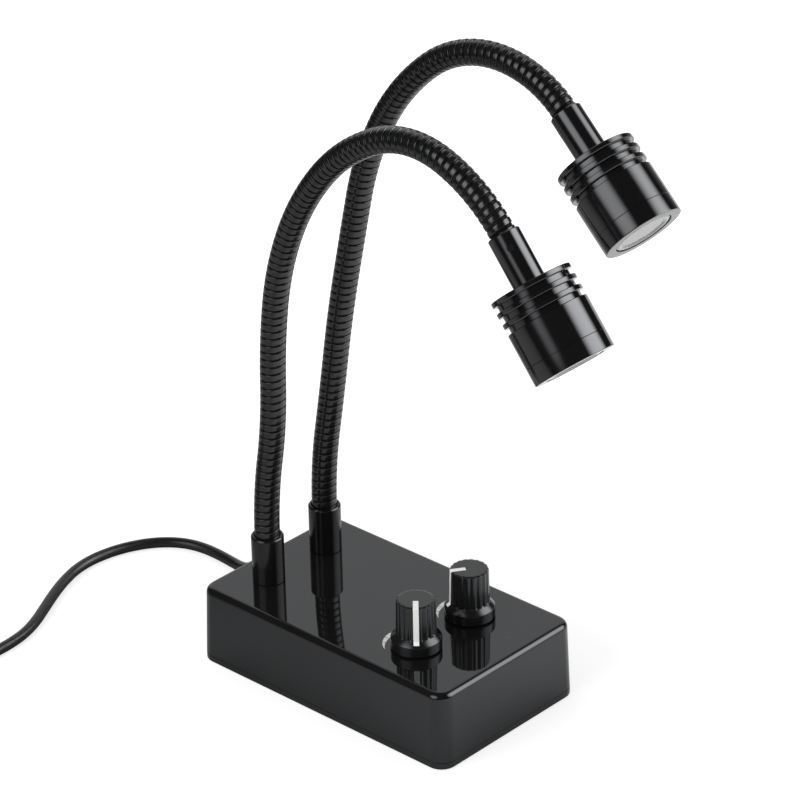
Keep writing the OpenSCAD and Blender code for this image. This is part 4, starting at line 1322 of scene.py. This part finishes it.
class ILLUMINATOR_OT_stage(bpy.types.Operator):
    """Set the camera, the pale floor, the soft box and the backdrop"""

    bl_idname = "illuminator.stage"
    bl_label = "Stage"

    azimuth, elevation, roll = (math.radians(v) for v in (-46.781, 27.629, -1.262))
    distance = 1.29189
    target = Vector((0.116777, 0.10175, 0.0125))
    lens = 172.185
    to_the_right = (0.685, -0.729, 0)
    # Start, end and strength of the floor's ramps from left to right, as mirrors see it: painted
    # light, as left and right tones of the floor and a painted glow on the right
    ramps = ((-0.8, -0.3, 0.46), (-0.1, 0.15, 0.54), (-0.1, 0.08, 0.4))
    # Azimuth, elevation, angles of the soft edge and of the core, strength
    mirrored_lights = (
        (43.0, 22.0, 46.0, 22.0, 0.84),
        (173.0, 30.2, 28.0, 8.0, 3.0),
        (-48.0, 31.5, 33.0, 1.0, 6.2),
    )

    def execute(self, context):
        self.camera(context)
        self.floor()
        self.soft_box("key_left", Vector((-0.87, 0.05, 0.53)), Vector((0, 0, 0.05)), 0.6, 4.5)
        self.backdrop(context.scene)
        context.scene.view_settings.view_transform = "Standard"
        return {"FINISHED"}

    def camera(self, context):
        """Camera of the photograph."""
        a, e = self.azimuth, self.elevation
        back = Vector((math.sin(a) * math.cos(e), -math.cos(a) * math.cos(e), math.sin(e)))
        across = Vector((math.cos(a), math.sin(a), 0))
        up = back.cross(across)
        c, s = math.cos(self.roll), math.sin(self.roll)
        axes = Matrix((c * across + s * up, c * up - s * across, back)).transposed()
        camera = add("photo_camera", bpy.ops.object.camera_add)
        camera.matrix_world = Matrix.Translation(self.target + back * self.distance) @ axes.to_4x4()
        camera.data.lens = self.lens
        camera.data.sensor_width = 36
        camera.data.clip_start = 0.05
        context.scene.camera = camera

    def floor(self):
        """Pale floor that keeps the shadow. To mirrors it has painted light and shade: tones that
        brighten from left to right, a painted glow on the right and painted shade close to the
        part.
        """
        plane = bpy.ops.mesh.primitive_plane_add
        floor = start("floor", plane, size=6, location=(0, 0, -0.2 * MM))
        leave_edit()
        material = bpy.data.materials.new("pale_floor")
        material.use_nodes = True
        tree = material.node_tree
        tree.nodes.remove(tree.nodes["Principled BSDF"])
        path = put(tree, "LightPath")
        where = put(tree, "TexCoord")["Object"]
        across = dot(tree, where, self.to_the_right)
        # Painted light for mirrors: the floor's tones brighten from left to right, and a painted
        # glow lies on the right
        left, right, lit = (ranged(tree, across, *ramp) for ramp in self.ramps)
        # Painted shade for mirrors: ambient occlusion darkens the floor's tones and glow close to
        # the part
        painted_contact_shade = put(tree, "AmbientOcclusion", {"Distance": 0.045})["AO"]
        tone = reckon(tree, "MULTIPLY", reckon(tree, "ADD", left, right), painted_contact_shade)
        lit = reckon(tree, "MULTIPLY", lit, painted_contact_shade)
        far = put(tree, "VectorMath", {0: where}, operation="LENGTH")["Value"]
        seen = ranged(tree, far, 0.09, 0.3, 1.0, 0.68)
        mirrored = mirrored_ray(tree, path)
        strength = reckon(tree, "MULTIPLY", path["Is Camera Ray"], seen)
        # Mirrors see the painted glow as emission and the painted tones as the diffuse colour; the
        # camera sees grey 0.5
        strength = reckon(tree, "MULTIPLY_ADD", mirrored, lit, strength)
        grey_or_painted_tone = mixed(tree, mirrored, 0.5, tone, "FLOAT")
        paint = put(tree, "BsdfDiffuse", {"Color": grey_or_painted_tone})["BSDF"]
        light = put(tree, "Emission", {"Strength": strength})["Emission"]
        both = put(tree, "AddShader", {0: paint, 1: light})["Shader"]
        tree.links.new(both, tree.nodes["Material Output"].inputs["Surface"])
        floor.data.materials.append(material)

    @staticmethod
    def soft_box(name, at, towards, width, power):
        """Square soft light; mirrors see the soft lights of the backdrop instead."""
        lamp = add(name, bpy.ops.object.light_add, type="AREA")
        lamp.data.shape = "RECTANGLE"
        lamp.data.size = lamp.data.size_y = width
        lamp.data.energy = power
        lamp.visible_camera = lamp.visible_glossy = lamp.visible_transmission = False
        turn = (towards - at).to_track_quat("-Z", "Y")
        lamp.matrix_world = Matrix.Translation(at) @ turn.to_matrix().to_4x4()

    def backdrop(self, scene):
        """White to the camera; to mirrors, a dark room with three soft lights."""
        world = bpy.data.worlds.new("studio")
        scene.world = world
        world.use_nodes = True
        tree = world.node_tree
        path = put(tree, "LightPath")
        way = put(tree, "TexCoord")["Generated"]
        room = 0.03
        for *angles, strength in self.mirrored_lights:
            a, e, edge, core = map(math.radians, angles)
            aim = (math.cos(a) * math.cos(e), math.sin(a) * math.cos(e), math.sin(e))
            ends = (math.cos(edge), math.cos(core), strength)
            near = dot(tree, way, aim)
            lit = ranged(tree, near, *ends, interpolation_type="SMOOTHSTEP")
            room = reckon(tree, "ADD", lit, room)
        soft = mixed(tree, mirrored_ray(tree, path), 0.66, room, "FLOAT")
        strength = mixed(tree, path["Is Camera Ray"], soft, 1.0, "FLOAT")
        sky = tree.nodes["Background"].inputs
        sky["Color"].default_value = (1, 1, 1, 1)
        tree.links.new(strength, sky["Strength"])


OPERATORS = (
    ILLUMINATOR_OT_finishes,
    ILLUMINATOR_OT_stage,
    ILLUMINATOR_OT_cord,
    ILLUMINATOR_OT_base,
    ILLUMINATOR_OT_dials,
    ILLUMINATOR_OT_knobs,
    ILLUMINATOR_OT_ferrules,
    ILLUMINATOR_OT_necks,
    ILLUMINATOR_OT_heads,
)


class ILLUMINATOR_PT_sidebar(bpy.types.Panel):
    """Sizes, colours and making of the illuminator"""

    bl_idname = "ILLUMINATOR_PT_sidebar"
    bl_label = "Illuminator"
    bl_space_type = "VIEW_3D"
    bl_region_type = "UI"
    bl_category = "Illuminator"

    def draw(self, context):
        settings = context.scene.illuminator
        for operator in OPERATORS:
            self.layout.operator(operator.bl_idname)
        for part in settings.bl_rna.properties.keys():
            group = getattr(settings, part)
            if isinstance(group, bpy.types.PropertyGroup):
                box = self.layout.box()
                box.label(text=part.title())
                for name in group.__annotations__:
                    box.prop(group, name, text=name.replace("_", " ").capitalize())


CLASSES = (
    BaseSizes,
    KnobSizes,
    DialSizes,
    NeckSizes,
    HeadSizes,
    CordSizes,
    FinishColours,
    Illuminator,
    *OPERATORS,
    ILLUMINATOR_PT_sidebar,
)


def register():
    for each in CLASSES:
        bpy.utils.register_class(each)
    bpy.types.Scene.illuminator = PointerProperty(type=Illuminator)


def unregister():
    del bpy.types.Scene.illuminator
    for each in reversed(CLASSES):
        bpy.utils.unregister_class(each)


def main():
    register()
    bpy.ops.illuminator.finishes()
    bpy.ops.illuminator.stage()
    bpy.ops.illuminator.cord()
    bpy.ops.illuminator.base()
    bpy.ops.illuminator.dials()
    bpy.ops.illuminator.knobs()
    bpy.ops.illuminator.ferrules()
    bpy.ops.illuminator.necks()
    bpy.ops.illuminator.heads()


if __name__ == "__main__":
    main()
